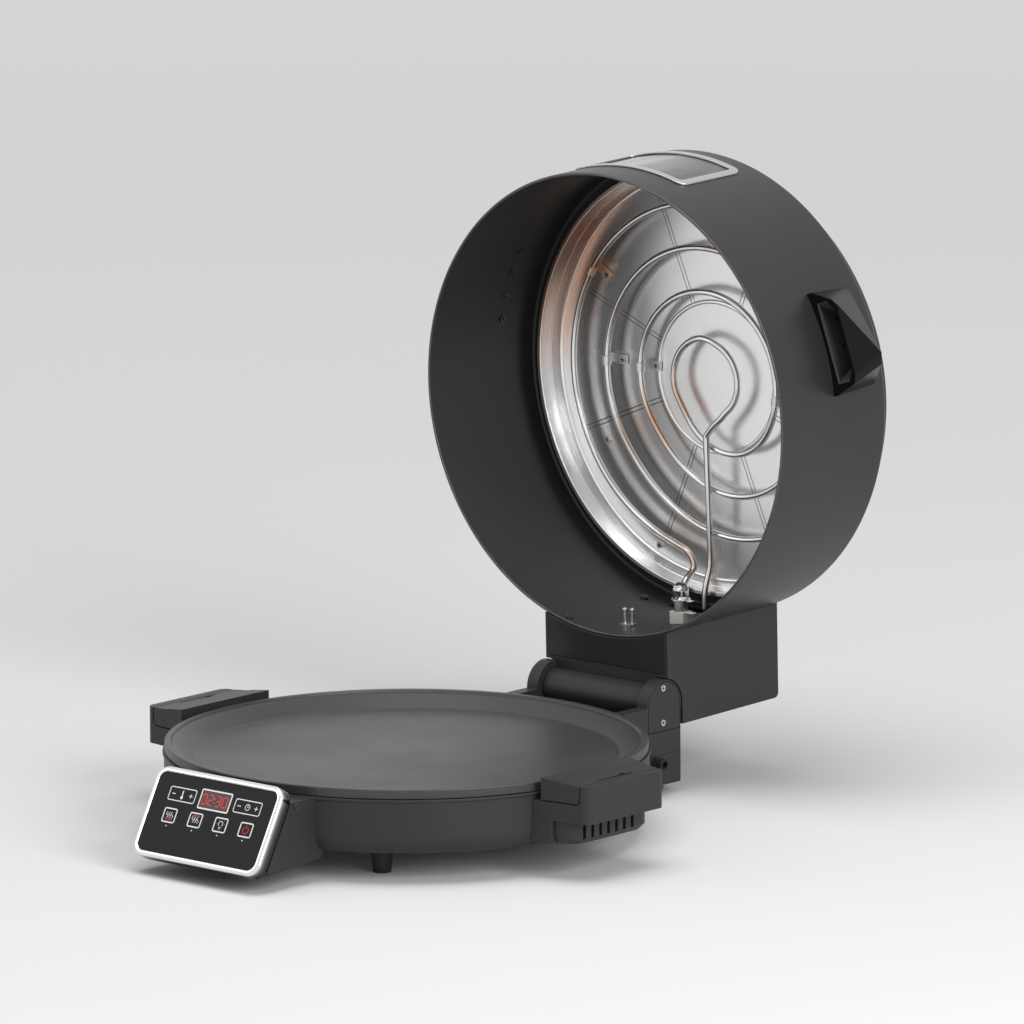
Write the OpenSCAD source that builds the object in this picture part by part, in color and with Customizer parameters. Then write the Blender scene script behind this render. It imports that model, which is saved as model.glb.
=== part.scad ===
// Electric pizza maker: round base with a lift-out pan and a deep drum lid on a rear hinge.
// X points right, Y points back and Z up. Z = 0 is the table. The origin lies under the middle
// of the whole appliance with its lid open, and the pan's axis stands at pan_y.

/* [Pan] */
// Outer diameter of the pan's rim, for a pizza of 12 inches
pan_d = 340; // [300:5:380]
// Height of the pan's rim above the table
rim_h = 68; // [66:1:76]
// Depth of the dish below the rim
dish_depth = 10.5; // [8:0.5:12]
// Thickness of the cast pan
pan_wall = 3; // [2.5:0.5:3.5]
// Width of the flat land on the rim
rim_land = 5; // [4:0.5:7]
// Width of the sloping border between the land and the dish
border_w = 17; // [12:1:22]
// Height of the pan's outer skirt
skirt_h = 6.8; // [6:0.1:7]

/* [Base body] */
// Height of the body's underside above the table
foot_h = 20.9; // [16:0.1:22]
// How far the body's wall stands outside the pan
body_proud = 0.5; // [0.2:0.1:2]
// How far the lip on top of the wall stands outside the wall
lip_proud = 1; // [0.5:0.1:2]
// Wall thickness of the moulded parts
shell_wall = 2.5; // [2:0.1:3]
// Radius of the body's lower edge
edge_round = 13; // [8:1:14]
// Width of the ledge that carries the lower reflector
ledge_w = 20; // [16:1:24]
// Sideways place of the front feet
foot_x = 70; // [50:1:90]
// Distance of the front feet behind the front of the body
foot_in = 67.5; // [55:0.5:80]

/* [Wings] */
// Reach of the wings beyond the pan's rim
wing_reach = 39; // [36:1:50]
// Length of a wing's outer face from front to back
wing_len = 82; // [70:1:100]
// Place of the wings' middle, ahead of the pan's axis
wing_ahead = 4.5; // [0:0.5:10]
// Slope of a wing's front and rear faces towards the body
wing_slope = 0.13; // [0:0.01:0.2]
// Height of a wing's upper block
wing_h = 26.4; // [22:0.1:30]
// Top of the wings above the pan's rim
wing_over_rim = 1.3; // [0:0.1:2]
// Thickness of the wall outside the pan handle
wing_wall = 7; // [5:0.5:9]
// Inset of the lower wing cover behind the upper block
vent_inset = 12.5; // [8:0.5:16]
// Height of the lower wing cover
vent_h = 16.5; // [13:0.5:18]
// Number of vent slots in each lower wing cover
vent_count = 7; // [4:1:8]
// Distance from one vent slot to the next
vent_pitch = 8.3; // [8:0.1:10]
// Width of a vent slot
vent_w = 2.8; // [1.5:0.1:3.5]

/* [Control panel] */
// Width of the printed panel
panel_w = 110.3; // [100:0.1:130]
// Length of the printed panel down its slope
panel_l = 57.7; // [50:0.1:62]
// Thickness of the printed panel
panel_t = 1.6; // [1:0.1:2]
// Angle of the panel from the horizontal
panel_tilt = 61.6; // [50:0.1:70]
// Distance of the panel's top edge ahead of the pan's rim
panel_ahead = 20.8; // [18:0.1:30]
// Width of the chrome frame around the panel
bezel_w = 4.1; // [3:0.1:6]
// Depth of the chrome frame
bezel_t = 9; // [6:0.5:11]
// Width of the display
display_w = 28.2; // [24:0.1:34]
// Height of the display
display_h = 14; // [12:0.1:18]
// Distance of the display below the panel's top edge
display_down = 7.3; // [6:0.1:9]

/* [Hinge] */
// Distance of the hinge axis behind the pan's rim
hinge_behind = 40; // [36:1:60]
// Height of the hinge axis below the pan's rim
hinge_below = 2; // [0:0.5:4]
// Outer radius of the tower's ears
ear_r = 18.4; // [17.5:0.1:20]
// Thickness of an ear
ear_w = 9.9; // [8:0.1:12]
// Width of the hinge tower over its ears
tower_w = 114.6; // [100:0.1:130]
// Height of the tower's underside above the table
tower_clear = 8; // [6:0.5:12]
// Radius of the hinge barrel
barrel_r = 13; // [10:0.5:14]
// Radius of a hinge pin
pin_r = 3; // [2.5:0.1:4]
// Opening angle of the lid
open_angle = 88.5; // [70:0.5:89]

/* [Lid] */
// Height of the closed lid's rim above the pan's rim
lid_gap = 2.5; // [1.5:0.1:4]
// How far the drum's wall stands inside the pan's rim
drum_inset = 2; // [1:0.1:4]
// Depth of the drum from its rim to its shoulder
drum_depth = 114.7; // [100:0.1:130]
// Thickness of the drum's sheet
drum_wall = 1.3; // [1:0.1:2]
// Radius of the drum's shoulder edge
shoulder_round = 4; // [2:0.5:5]
// Height of the raised cap above the shoulder
cap_h = 16.3; // [14:0.1:22]
// Width of the shoulder around the cap
shoulder_w = 12.5; // [11:0.5:16]

/* [Rear box] */
// How much wider than the hinge tower the box behind the drum is
box_wider = 1; // [0:0.1:6]
// Height of the box above the drum's shoulder when the lid is closed
box_over = 5.5; // [0:0.1:12]
// Height of the box's underside above the hinge axis when the lid is closed
box_lift = 3.7; // [3.2:0.1:6]
// Distance of the box's back behind the hinge axis
box_back = 17; // [14:0.1:17]

/* [Reflector] */
// Distance of the reflector's rim from the drum's shoulder
reflector_rise = 7.9; // [6:0.1:9]
// Gap between the drum's wall and the reflector's rim
reflector_gap = 12.7; // [10:0.1:15]
// Depth of the reflector
reflector_depth = 18.7; // [15:0.1:20]
// How far the reflector's floor is narrower than its rim, all round
reflector_draft = 3.3; // [2:0.1:6]
// Radius of the stamped ring around the reflector's middle
bead_r = 55.4; // [50:0.1:60]
// Number of stamped ribs on the reflector
rib_count = 8; // [4:2:12]

/* [Heating elements] */
// Diameter of the upper heating tube
upper_tube_d = 4.8; // [4:0.1:6]
// Distance of the upper tube's outer loop from the drum's wall
upper_in = 37.7; // [35:0.1:46]
// Radius of the upper tube's third loop
upper_third_r = 64.4; // [60:0.1:68]
// Height of the upper tube over the reflector's floor
upper_clear = 10.5; // [8:0.5:12]
// Diameter of the lower heating tube
lower_tube_d = 6.5; // [5:0.1:7]
// Distance of the lower tube's outer loop from the foot of its tray's wall
lower_in = 18; // [12:1:30]
// Radius of the lower tube's inner loop
lower_inner_r = 66; // [50:1:76]

/* [Lid fittings] */
// Angle of the lid's side handles, from straight sideways towards the front
handle_angle = 18.8; // [10:0.1:35]
// Length of a side handle around the drum
handle_len = 75; // [66:1:90]
// How far a side handle stands out of the drum
handle_out = 20.5; // [18:0.5:26]
// Height of a side handle's underside above the closed lid's rim
handle_up = 57.7; // [45:0.1:60]
// Height of a side handle
handle_h = 42; // [34:1:44]
// Width of the window frame
window_w = 103.8; // [80:0.1:110]
// Height of the window frame
window_h = 66; // [50:1:70]
// Height of the window frame's lower edge above the closed lid's rim
window_up = 30; // [25:1:35]
// Width of the window frame's border
frame_w = 5.5; // [4:0.5:8]

/* [Hidden] */
$fn = 96;

// Shared fits: a hair between fixed parts, a running fit, and the gap between moving bodies
hair = 0.1;
running = 0.05;
moving_gap = 0.3;
sheet = 0.8;

// Places that follow from the driving sizes
pan_r = pan_d / 2;
pan_y = -60;
seam_z = rim_h - skirt_h - moving_gap;
body_r = pan_r + body_proud;
lip_r = body_r + lip_proud;
inner_r = body_r - shell_wall;
hinge_y = pan_y + pan_r + hinge_behind;
hinge_z = rim_h - hinge_below;
lid_z = rim_h + lid_gap;
drum_r = pan_r - drum_inset;
drum_in = drum_r - drum_wall;
ear_in = tower_w / 2 - ear_w;
box_w = tower_w + box_wider;

// Turns the lid, drawn closed, about the hinge axis to where it rests open
module open_lid() {
    translate([0, hinge_y, hinge_z])
        rotate([-open_angle, 0, 0])
            translate([0, -hinge_y, -hinge_z])
                children();
}

// The drum's own frame: Z is the height above the lid's rim, angles start at +X
module on_drum() {
    open_lid() translate([0, pan_y, lid_z]) children();
}

module at_pan() {
    translate([0, pan_y, 0]) children();
}

module both_sides() {
    children();
    mirror([1, 0, 0]) children();
}

module ring(r_out, r_in, z0, z1) {
    rotate_extrude()
        translate([r_in, z0]) square([r_out - r_in, z1 - z0]);
}

// A round solid with a rounded lower edge
module bowl(r, z0, z1, edge) {
    rotate_extrude()
        intersection() {
            translate([0, z0]) square([r, z1 - z0]);
            union() {
                translate([0, z0 + edge]) square([r, z1 - z0]);
                translate([0, z0]) square([r - edge, z1 - z0]);
                translate([r - edge, z0 + edge]) circle(edge);
            }
        }
}

// A flat rectangle with round corners, centred
module rounded(w, h, r) {
    square([w - 2 * r, h], center = true);
    square([w, h - 2 * r], center = true);
    for (sx = [-1, 1])
        for (sy = [-1, 1])
            translate([sx * (w / 2 - r), sy * (h / 2 - r)]) circle(r);
}

// A screw with its head above z = 0, its shank below, and a cross recess
module screw(head_r, head_h, shank_r, shank_l) {
    difference() {
        cylinder(r = head_r, h = head_h);
        for (turn = [0, 90])
            rotate(turn)
                translate([-head_r * 0.65, -head_r * 0.17, head_h / 2])
                    cube([head_r * 1.3, head_r * 0.34, head_h]);
    }
    translate([0, 0, -shank_l]) cylinder(r = shank_r, h = shank_l);
}

function arc(cx, cy, r, from, to, steps) = [
    for (i = [0 : steps])
        let (a = from + (to - from) * i / steps)
        [cx + r * cos(a), cy + r * sin(a)]
];

function unit(v) = v / norm(v);
function smooth(t) = t <= 0 ? 0 : t >= 1 ? 1 : t * t * (3 - 2 * t);

// A round tube swept along a path that stays roughly level, as one closed skin
module tube_along(path, r, sides = 8) {
    count = len(path);
    rings = [
        for (i = [0 : count - 1])
            let (
                back = path[max(i - 1, 0)],
                ahead = path[min(i + 1, count - 1)],
                along = unit(ahead - back),
                side = unit(cross(along, [0, 0, 1])),
                up = cross(side, along)
            )
            for (k = [0 : sides - 1])
                path[i] + r * (cos(360 * k / sides) * side + sin(360 * k / sides) * up)
    ];
    skin = [
        for (i = [0 : count - 2])
            for (k = [0 : sides - 1])
                let (
                    a = i * sides + k,
                    b = i * sides + (k + 1) % sides
                )
                each [[a, b, b + sides], [a, b + sides, a + sides]]
    ];
    last = (count - 1) * sides;
    start_cap = [for (k = [1 : sides - 2]) [0, k + 1, k]];
    end_cap = [for (k = [1 : sides - 2]) [last, last + k, last + k + 1]];
    polyhedron(rings, concat(skin, start_cap, end_cap));
}

// Base body. The shell is one moulding: a wall with a rounded lower edge, a lip under the
// pan's skirt, a ledge for the reflector tray and a flange for the bottom plate.
ledge_z = seam_z - 9;
ledge_in = inner_r - ledge_w;
flange_in = body_r - edge_round - 14;
plate_r = flange_in + 8;
plate_z = foot_h + shell_wall;

module base_shell() color([0.13, 0.13, 0.14])
    at_pan() difference() {
        union() {
            difference() {
                bowl(body_r, foot_h, seam_z, edge_round);
                bowl(inner_r, foot_h + shell_wall, seam_z + 1, edge_round - shell_wall);
            }
            ring(lip_r, body_r - shell_wall / 2, seam_z - 2, seam_z);
            ring(body_r - shell_wall / 2, ledge_in, ledge_z - 2, ledge_z);
        }
        translate([0, 0, foot_h - 1]) cylinder(r = flange_in, h = shell_wall + 2);
        base_screw_places() translate([0, 0, foot_h - 1]) cylinder(r = 1.6, h = 9);
        // Air ways to the wings, and cable ways to the control box and the tower
        both_sides()
            translate([inner_r - 8, -wing_ahead - 27, foot_h + 13]) cube([16, 54, 10]);
        translate([-25, -body_r - 4, foot_h + 12]) cube([50, 16, 12]);
        translate([-20, body_r - 12, foot_h + 12]) cube([40, 16, 12]);
    }

module base_screw_places() {
    for (turn = [30 : 60 : 330])
        rotate(turn) translate([flange_in + 4, 0, 0]) children();
}

module bottom_plate() color([0.45, 0.46, 0.48])
    at_pan() difference() {
        translate([0, 0, plate_z]) cylinder(r = plate_r, h = sheet);
        base_screw_places() translate([0, 0, plate_z - 1]) cylinder(r = 1.6, h = 3);
        for (turn = [0 : 60 : 300])
            for (row = [-2 : 2])
                rotate(turn)
                    translate([62, row * 9 - 1.5, plate_z - 1]) cube([34, 3, 3]);
    }

module base_screws() color([0.6, 0.6, 0.62])
    at_pan() base_screw_places()
        translate([0, 0, foot_h]) mirror([0, 0, 1]) screw(3, 1.8, 1.45, 6.5);

// Two tall tapered posts under the front of the plate and two short ones under the tower
pad_h = 2.2;
rear_foot_x = tower_w / 2 - 15;
rear_foot_y = hinge_y + 3;

module foot_post(r_top, r_bottom, top) {
    translate([0, 0, pad_h])
        rotate_extrude()
            polygon([[0, 0], [r_bottom, 0], [r_top, top - pad_h], [0, top - pad_h]]);
}

module front_foot_places() {
    both_sides() translate([foot_x, pan_y - body_r + foot_in, 0]) children();
}

module rear_foot_places() {
    both_sides() translate([rear_foot_x, rear_foot_y, 0]) children();
}

module feet() color([0.12, 0.12, 0.13]) {
    front_foot_places() foot_post(8.5, 6.8, plate_z);
    rear_foot_places() foot_post(9, 8.4, tower_clear);
}

module foot_pads() color([0.05, 0.05, 0.05]) {
    front_foot_places() cylinder(r = 6.4, h = pad_h);
    rear_foot_places() cylinder(r = 8, h = pad_h);
}

// Lower heat: a pressed tray on the ledge, insulation under it and a two-turn tube in it
tray_floor = plate_z + 11;
tray_r = ledge_in - 18;

module lower_reflector() color([0.75, 0.76, 0.78])
    at_pan() difference() {
        rotate_extrude()
            polygon([
                [0, tray_floor], [tray_r, tray_floor], [ledge_in - 3, ledge_z],
                [inner_r - 1, ledge_z], [inner_r - 1, ledge_z + sheet],
                [ledge_in - 3.6, ledge_z + sheet], [tray_r - 0.6, tray_floor + sheet],
                [0, tray_floor + sheet]
            ]);
        translate([0, 0, tray_floor - 1]) cylinder(r = 12, h = 3);
        both_sides()
            translate([lead_x, ledge_in - 24, lower_z])
                rotate([-90, 0, 0]) cylinder(r = lower_tube_d / 2 + 1, h = 30);
    }

module lower_insulation() color([0.86, 0.85, 0.8])
    at_pan() difference() {
        translate([0, 0, tray_floor - 6.2]) cylinder(r = tray_r - 6, h = 6);
        translate([0, 0, tray_floor - 8]) cylinder(r = 14, h = 10);
        translate([cutout_x, 0, tray_floor - 8]) cylinder(r = 12, h = 10);
    }

// The tube runs from the left lead round the outer loop to the front, turns in, goes right
// round the inner loop and returns along the other half of the outer loop.
lower_z = tray_floor + sheet + 8.5;
lead_x = 12;
turn_gap = 9;
lower_outer_r = tray_r - lower_in;
lower_mid_r = (lower_outer_r + lower_inner_r) / 2;
lower_turn_r = (lower_outer_r - lower_inner_r) / 2;
lead_bend = 12;

function at_z(points, z) = [for (p = points) [p[0], p[1], z]];
function mirrored(points) = [for (i = [len(points) - 1 : -1 : 0]) [-points[i][0], points[i][1]]];

bend_x = -lead_x - lead_bend;
bend_y = sqrt(pow(lower_outer_r + lead_bend, 2) - bend_x * bend_x);
loop_start = atan2(bend_y, bend_x);
loop_end = 270 - turn_gap - 12;
lower_half = concat(
    [[-lead_x, ledge_in + 6], [-lead_x, bend_y + 4]],
    arc(bend_x, bend_y, lead_bend, 0, loop_start - 190, 4),
    arc(0, 0, lower_outer_r, loop_start + 2, loop_end, 22),
    arc(lower_mid_r * cos(loop_end), lower_mid_r * sin(loop_end), lower_turn_r,
        loop_end + 20, loop_end + 160, 7),
    arc(0, 0, lower_inner_r, loop_end, 90, 18)
);
lower_route = concat(lower_half, [for (i = [1 : len(lower_half) - 1]) mirrored(lower_half)[i]]);

module lower_element() color([0.3, 0.29, 0.28])
    at_pan() tube_along(at_z(lower_route, lower_z), lower_tube_d / 2);

// Cradles that carry both loops over the tray
cradle_h = lower_tube_d / 2 + 3;

module lower_element_clips() color([0.7, 0.7, 0.72])
    at_pan() for (a = [0, 55, 125, 180])
        rotate(a) difference() {
            union() {
                translate([lower_inner_r - 5, -3, lower_z - cradle_h])
                    cube([lower_outer_r - lower_inner_r + 10, 6, cradle_h]);
                translate([lower_mid_r - 6, -3, tray_floor + sheet])
                    cube([12, 6, lower_z - cradle_h - tray_floor]);
            }
            for (r = [lower_inner_r, lower_outer_r])
                translate([0, 0, lower_z]) rotate_extrude()
                    translate([r, 0]) circle(lower_tube_d / 2 + moving_gap);
        }

// A probe under the middle of the pan, and a cutout clamped under the tray
pan_floor = rim_h - dish_depth - pan_wall;
cutout_x = 40;

module pan_probe() color([0.8, 0.8, 0.82])
    at_pan() translate([0, 0, tray_floor + 6])
        union() {
            cylinder(r = 9, h = pan_floor - moving_gap - tray_floor - 6);
            translate([0, 0, -4]) cylinder(r = 4, h = 5);
        }

module probe_holder() color([0.6, 0.6, 0.62])
    at_pan() difference() {
        union() {
            translate([0, 0, tray_floor + sheet]) cylinder(r = 18, h = 1.2);
            translate([0, 0, tray_floor - 8]) cylinder(r = 11.5, h = 17);
        }
        translate([0, 0, tray_floor + 1.9]) cylinder(r = 9.4, h = 12);
        translate([0, 0, tray_floor - 6.5]) cylinder(r = 4.3, h = 12);
    }

module thermal_cutout() color([0.85, 0.85, 0.82])
    at_pan() translate([cutout_x, 0, tray_floor]) mirror([0, 0, 1]) {
        cylinder(r = 8, h = 5);
        cylinder(r = 5, h = 8);
    }

// Wings. A wing's upper block is an outer wall and a tray that the pan handle drops into.
// Its lower cover is set back and vented.
wing_x = pan_r + wing_reach;
wing_top = rim_h + wing_over_rim;
wing_floor = wing_top - wing_h + shell_wall + 10.5;
wing_corner = 6.5;
vent_corner = 12;
tray_corner = 3;
grip_gap = 0.8;
tray_x = wing_x - wing_wall;
web_x = pan_r + 9.5;
web_inset = -wing_slope * (wing_x - web_x);

// Plan of a wing: both ends slope out towards the body, and the outer corners are round
function wing_plan(x_out, corner, inset) =
    let (
        half = wing_len / 2 - inset,
        x_in = pan_r - 32,
        lean = atan(wing_slope),
        cx = x_out - corner,
        cy = half - corner
    )
    concat(
        [[x_in, -half - wing_slope * (x_out - x_in)]],
        arc(cx, -cy, corner, -90 - lean, 0, 6),
        arc(cx, cy, corner, 0, 90 + lean, 6),
        [[x_in, half + wing_slope * (x_out - x_in)]]
    );

module wing_block(x_out, corner, inset, z0, z1) {
    translate([0, -wing_ahead, z0])
        linear_extrude(z1 - z0) polygon(wing_plan(x_out, corner, inset));
}

module along_wing() {
    translate([0, wing_len, 0]) rotate([90, 0, 0]) linear_extrude(2 * wing_len) children();
}

// End view of the tray, with a round lower outer corner
module tray_profile(x, z, r) {
    translate([pan_r - 40, z + r]) square([x - pan_r + 40, wing_h]);
    translate([pan_r - 40, z]) square([x - r - pan_r + 40, wing_h]);
    translate([x - r, z + r]) circle(r);
}

module wing_right() color([0.14, 0.14, 0.15])
    at_pan() difference() {
        union() {
            wing_block(wing_x, wing_corner, 0, wing_top - wing_h, wing_top);
            // Web down the body, beside the vent cover
            wing_block(web_x, 0.5, web_inset, vent_z, wing_top - wing_h + 1);
        }
        wing_block(web_x - shell_wall, 0.5, web_inset + shell_wall, vent_z - 1, wing_floor - shell_wall);
        // Hollow underneath
        wing_block(wing_x - shell_wall, wing_corner, shell_wall, wing_top - wing_h - 1,
            wing_floor - shell_wall);
        // Tray for the pan handle, open at both ends
        along_wing() tray_profile(tray_x, wing_floor, tray_corner + grip_gap);
        cylinder(r = body_r + hair, h = wing_top + 1);
        ring(lip_r + hair, body_r, seam_z - 2 - hair, seam_z + 1);
    }

module wing_left() mirror([1, 0, 0]) wing_right();

vent_x = wing_x - vent_inset;
vent_top = wing_top - wing_h;
vent_z = vent_top - vent_h;

module vent_body(inset) {
    hull() {
        wing_block(vent_x - inset, vent_corner, inset, vent_z + 4, vent_top - hair);
        wing_block(vent_x - inset - 3, vent_corner, 3 + inset, vent_z + inset, vent_z + 4);
    }
}

module wing_vent_right() color([0.13, 0.13, 0.14])
    at_pan() difference() {
        vent_body(0);
        translate([0, 0, 2.2]) vent_body(2.2);
        translate([0, 0, vent_top - 4]) intersection() {
            wing_block(vent_x - 2.2, vent_corner, 2.2, 0, 6);
        }
        translate([0, -wing_len, 0]) cube([web_x + hair, 2 * wing_len, vent_top + 1]);
        for (i = [0 : vent_count - 1])
            translate([vent_x - 9, -wing_ahead - 2 + (i - vent_count / 2) * vent_pitch, vent_z + 3.5])
                cube([14, vent_w, vent_h - 6]);
    }

module wing_vent_left() mirror([1, 0, 0]) wing_vent_right();

// Control box. Its frame: X right, Y up the panel's slope, Z out of the panel, with the
// origin at the middle of the panel's top edge.
panel_y = pan_y - pan_r - panel_ahead;
panel_z = rim_h + 0.2;
panel_r = 6;
box_half = panel_w / 2 + bezel_w + 0.7;
box_under = 13;

module on_panel() {
    translate([0, panel_y, panel_z]) rotate([panel_tilt, 0, 0]) children();
}

function panel_point(down, out) = [
    panel_y - down * cos(panel_tilt) - out * sin(panel_tilt),
    panel_z - down * sin(panel_tilt) + out * cos(panel_tilt)
];

// Where the plane that lies "out" from the panel's face reaches a height
function plane_y(z, out) =
    panel_point((panel_z + out * cos(panel_tilt) - z) / sin(panel_tilt), out)[0];

// Side outline of the box, from the back of the chrome frame to under the body
box_rear = pan_y - pan_r + 18;
box_round = 4;

function box_side(t) =
    let (
        top = seam_z - 0.4 - t,
        low = box_under + t,
        out = -bezel_t - hair - t,
        r = box_round - t / 2
    )
    concat(
        [[plane_y(top, out), top], [plane_y(low + 3, out), low + 3], [plane_y(low, out) + 4, low]],
        arc(box_rear - t - r, low + 3.6 + r, r, -84, 0, 5),
        [[box_rear - t, top]]
    );

module box_prism(t) {
    translate([-box_half + t, 0, 0])
        rotate([90, 0, 90]) linear_extrude(2 * (box_half - t)) polygon(box_side(t));
}

module control_box() color([0.13, 0.13, 0.14])
    difference() {
        box_prism(0);
        difference() {
            union() {
                box_prism(shell_wall);
                // Open towards the panel
                on_panel()
                    translate([0, -panel_l / 2, -bezel_t - 6])
                        linear_extrude(12) rounded(panel_w - 1, panel_l - 8, panel_r);
            }
            // Rails behind the board
            both_sides() on_panel()
                translate([box_half - shell_wall - 5, -panel_l + 8, board_z - 4])
                    cube([6, panel_l - 16, 4 - hair]);
        }
        at_pan() bowl(body_r + hair, foot_h - hair, seam_z + 9, edge_round);
        at_pan() ring(lip_r + hair, body_r, seam_z - 2 - hair, seam_z + 9);
        both_sides() side_screw_place() cylinder(r = 1.3, h = 20, center = true);
    }

module side_screw_place() {
    translate([box_half, panel_y + 11.5, panel_z - 10.8]) rotate([0, 90, 0]) children();
}

module side_screws() color([0.5, 0.5, 0.52])
    both_sides() side_screw_place() screw(2.2, 1, 1.2, 7);

module panel_bezel() color([0.85, 0.85, 0.87])
    on_panel() translate([0, -panel_l / 2, -bezel_t]) difference() {
        linear_extrude(bezel_t + 1) rounded(panel_w + 2 * bezel_w, panel_l + 2 * bezel_w, 10);
        translate([0, 0, bezel_t - panel_t - hair])
            linear_extrude(bezel_t) rounded(panel_w + 2 * hair, panel_l + 2 * hair, panel_r);
        translate([0, 0, -1])
            linear_extrude(bezel_t + 3) rounded(panel_w - 6, panel_l - 6, panel_r - 3);
    }

module control_panel() color([0.03, 0.03, 0.035])
    on_panel() difference() {
        translate([0, -panel_l / 2, -panel_t]) linear_extrude(panel_t) rounded(panel_w, panel_l, panel_r);
        translate([-display_w / 2 - hair, -display_down - display_h - hair, -panel_t - 1])
            cube([display_w + 2 * hair, display_h + 2 * hair, panel_t + 2]);
    }

board_z = -bezel_t - 2;
module display_module() color([0.25, 0.02, 0.02])
    on_panel()
        translate([-display_w / 2, -display_down - display_h, board_z + 1.6 + hair])
            cube([display_w, display_h, -board_z - 1.6 - hair - 0.4]);

module control_board() color([0.05, 0.3, 0.15])
    on_panel() translate([-panel_w / 2 + 2, -panel_l + 10, board_z])
        cube([panel_w - 4, panel_l - 20, 1.6]);

// Hinge tower: two ears on a hollow block, and a tub below it down to the rear feet
tower_seam = rim_h - 38;
tower_back = hinge_y + ear_r - 0.5;
channel_z = hinge_z - 18;
cover_t = 1.6;
cover_inset = 1.6;
cover_gap = 0.45;
bush_r = 5;

module ear_side(r) {
    // Round top, straight back and a low wall running forward to the body
    translate([hinge_y, hinge_z]) circle(r);
    translate([hinge_y - r, tower_seam + hair]) square([tower_back - hinge_y + r, hinge_z - tower_seam - hair]);
    translate([pan_y + pan_r - 4, tower_seam + hair])
        square([hinge_behind, hinge_z - tower_seam - hair]);
}

module along_x(x0, x1) {
    translate([x0, 0, 0]) rotate([90, 0, 90]) linear_extrude(x1 - x0) children();
}

module clear_of_body() {
    at_pan() bowl(body_r + hair, foot_h - hair, rim_h + 20, edge_round);
    at_pan() ring(lip_r + moving_gap, body_r, seam_z - 2 - hair, rim_h + 20);
}

module ear_cover_shape(r, drop) {
    translate([hinge_y, hinge_z]) circle(r);
    translate([hinge_y - r, hinge_z - drop]) square([2 * r, drop]);
}

module hinge_tower() color([0.14, 0.14, 0.15])
    difference() {
        union() {
            both_sides() along_x(ear_in, tower_w / 2) ear_side(ear_r);
            along_x(-ear_in - 1, ear_in + 1)
                translate([pan_y + pan_r - 4, tower_seam + hair])
                    square([tower_back - pan_y - pan_r + 4, channel_z - tower_seam - hair]);
        }
        clear_of_body();
        // Hollow block
        along_x(-tower_w / 2 + shell_wall, tower_w / 2 - shell_wall)
            translate([pan_y + pan_r - 10, tower_seam - 1])
                square([tower_back - pan_y - pan_r + 10 - shell_wall,
                    channel_z - shell_wall - tower_seam + 1]);
        // Bush holes, and the rebates and screw holes of the cover plates
        translate([-tower_w, hinge_y, hinge_z])
            rotate([0, 90, 0]) cylinder(r = bush_r + 0.02, h = 2 * tower_w);
        both_sides() along_x(tower_w / 2 - cover_t, tower_w / 2 + 1)
            ear_cover_shape(ear_r - cover_inset + cover_gap, 18.5 + cover_gap);
        both_sides() ear_screw_places() translate([0, 0, -8]) cylinder(r = 1.3, h = 8);
    }

module ear_screw_places() {
    for (up = [12.6, -12.5])
        translate([tower_w / 2 - cover_t, hinge_y - 1.6, hinge_z + up]) rotate([0, 90, 0]) children();
}

module ear_cover_right() color([0.16, 0.16, 0.17])
    difference() {
        along_x(tower_w / 2 - cover_t, tower_w / 2) ear_cover_shape(ear_r - cover_inset, 18.5);
        ear_screw_places() translate([0, 0, -1]) cylinder(r = 1.3, h = 4);
    }

module ear_cover_left() mirror([1, 0, 0]) ear_cover_right();

module ear_screws() color([0.7, 0.7, 0.72])
    both_sides() ear_screw_places() translate([0, 0, cover_t]) screw(2.3, 0.7, 1.2, 7);

module hinge_bushes() color([0.9, 0.9, 0.88])
    both_sides() difference() {
        translate([ear_in, hinge_y, hinge_z])
            rotate([0, 90, 0]) cylinder(r = bush_r, h = ear_w - cover_t - hair);
        translate([ear_in - 1, hinge_y, hinge_z])
            rotate([0, 90, 0]) cylinder(r = pin_r + running, h = ear_w + 2);
    }

gland_y = hinge_y - 9;
gland_z = 25;
gland_r = 3.6;
gland_out = 8.5;

module tub_outline(t) {
    translate([pan_y + pan_r - 14 + t, tower_clear + t])
        square([tower_back - pan_y - pan_r + 14 - 2 * t, tower_seam - tower_clear]);
}

module tower_tub() color([0.13, 0.13, 0.14])
    difference() {
        along_x(-tower_w / 2, tower_w / 2) tub_outline(0);
        along_x(-tower_w / 2 + shell_wall, tower_w / 2 - shell_wall) tub_outline(shell_wall);
        translate([-tower_w, 0, tower_seam]) cube([2 * tower_w, 2 * hinge_y, 40]);
        clear_of_body();
        translate([tower_w / 2 - 6, gland_y, gland_z])
            rotate([0, 90, 0]) cylinder(r = gland_r + hair, h = 10);
    }

module cord_bushing() color([0.04, 0.04, 0.04])
    translate([tower_w / 2, gland_y, gland_z]) rotate([0, 90, 0]) difference() {
        union() {
            translate([0, 0, -shell_wall - 2]) cylinder(r = gland_r, h = gland_out + shell_wall + 2);
            translate([0, 0, -shell_wall - 2]) cylinder(r = gland_r + 1.5, h = 2);
            for (i = [0 : 3])
                translate([0, 0, i * 2.2 + 0.3]) cylinder(r = gland_r + 0.9, h = 1.3);
        }
        translate([0, 0, -shell_wall - 3]) cylinder(r = gland_r - 1, h = gland_out + 12);
    }

module terminal_block() color([0.88, 0.87, 0.8])
    translate([-22, tower_back - 26, tower_clear + shell_wall]) difference() {
        cube([44, 16, 12]);
        for (i = [0 : 3])
            translate([6 + i * 10.6, 8, 5]) cylinder(r = 2.2, h = 10);
    }

// Pan: a shallow cast dish with an outer skirt over the body's lip, and a lug for each handle
lug_w = 28;
lug_z = seam_z + 0.6;
lug_h = 3.4;
lug_x = pan_r + 20;
handle_screw_x = pan_r + 12;

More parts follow.
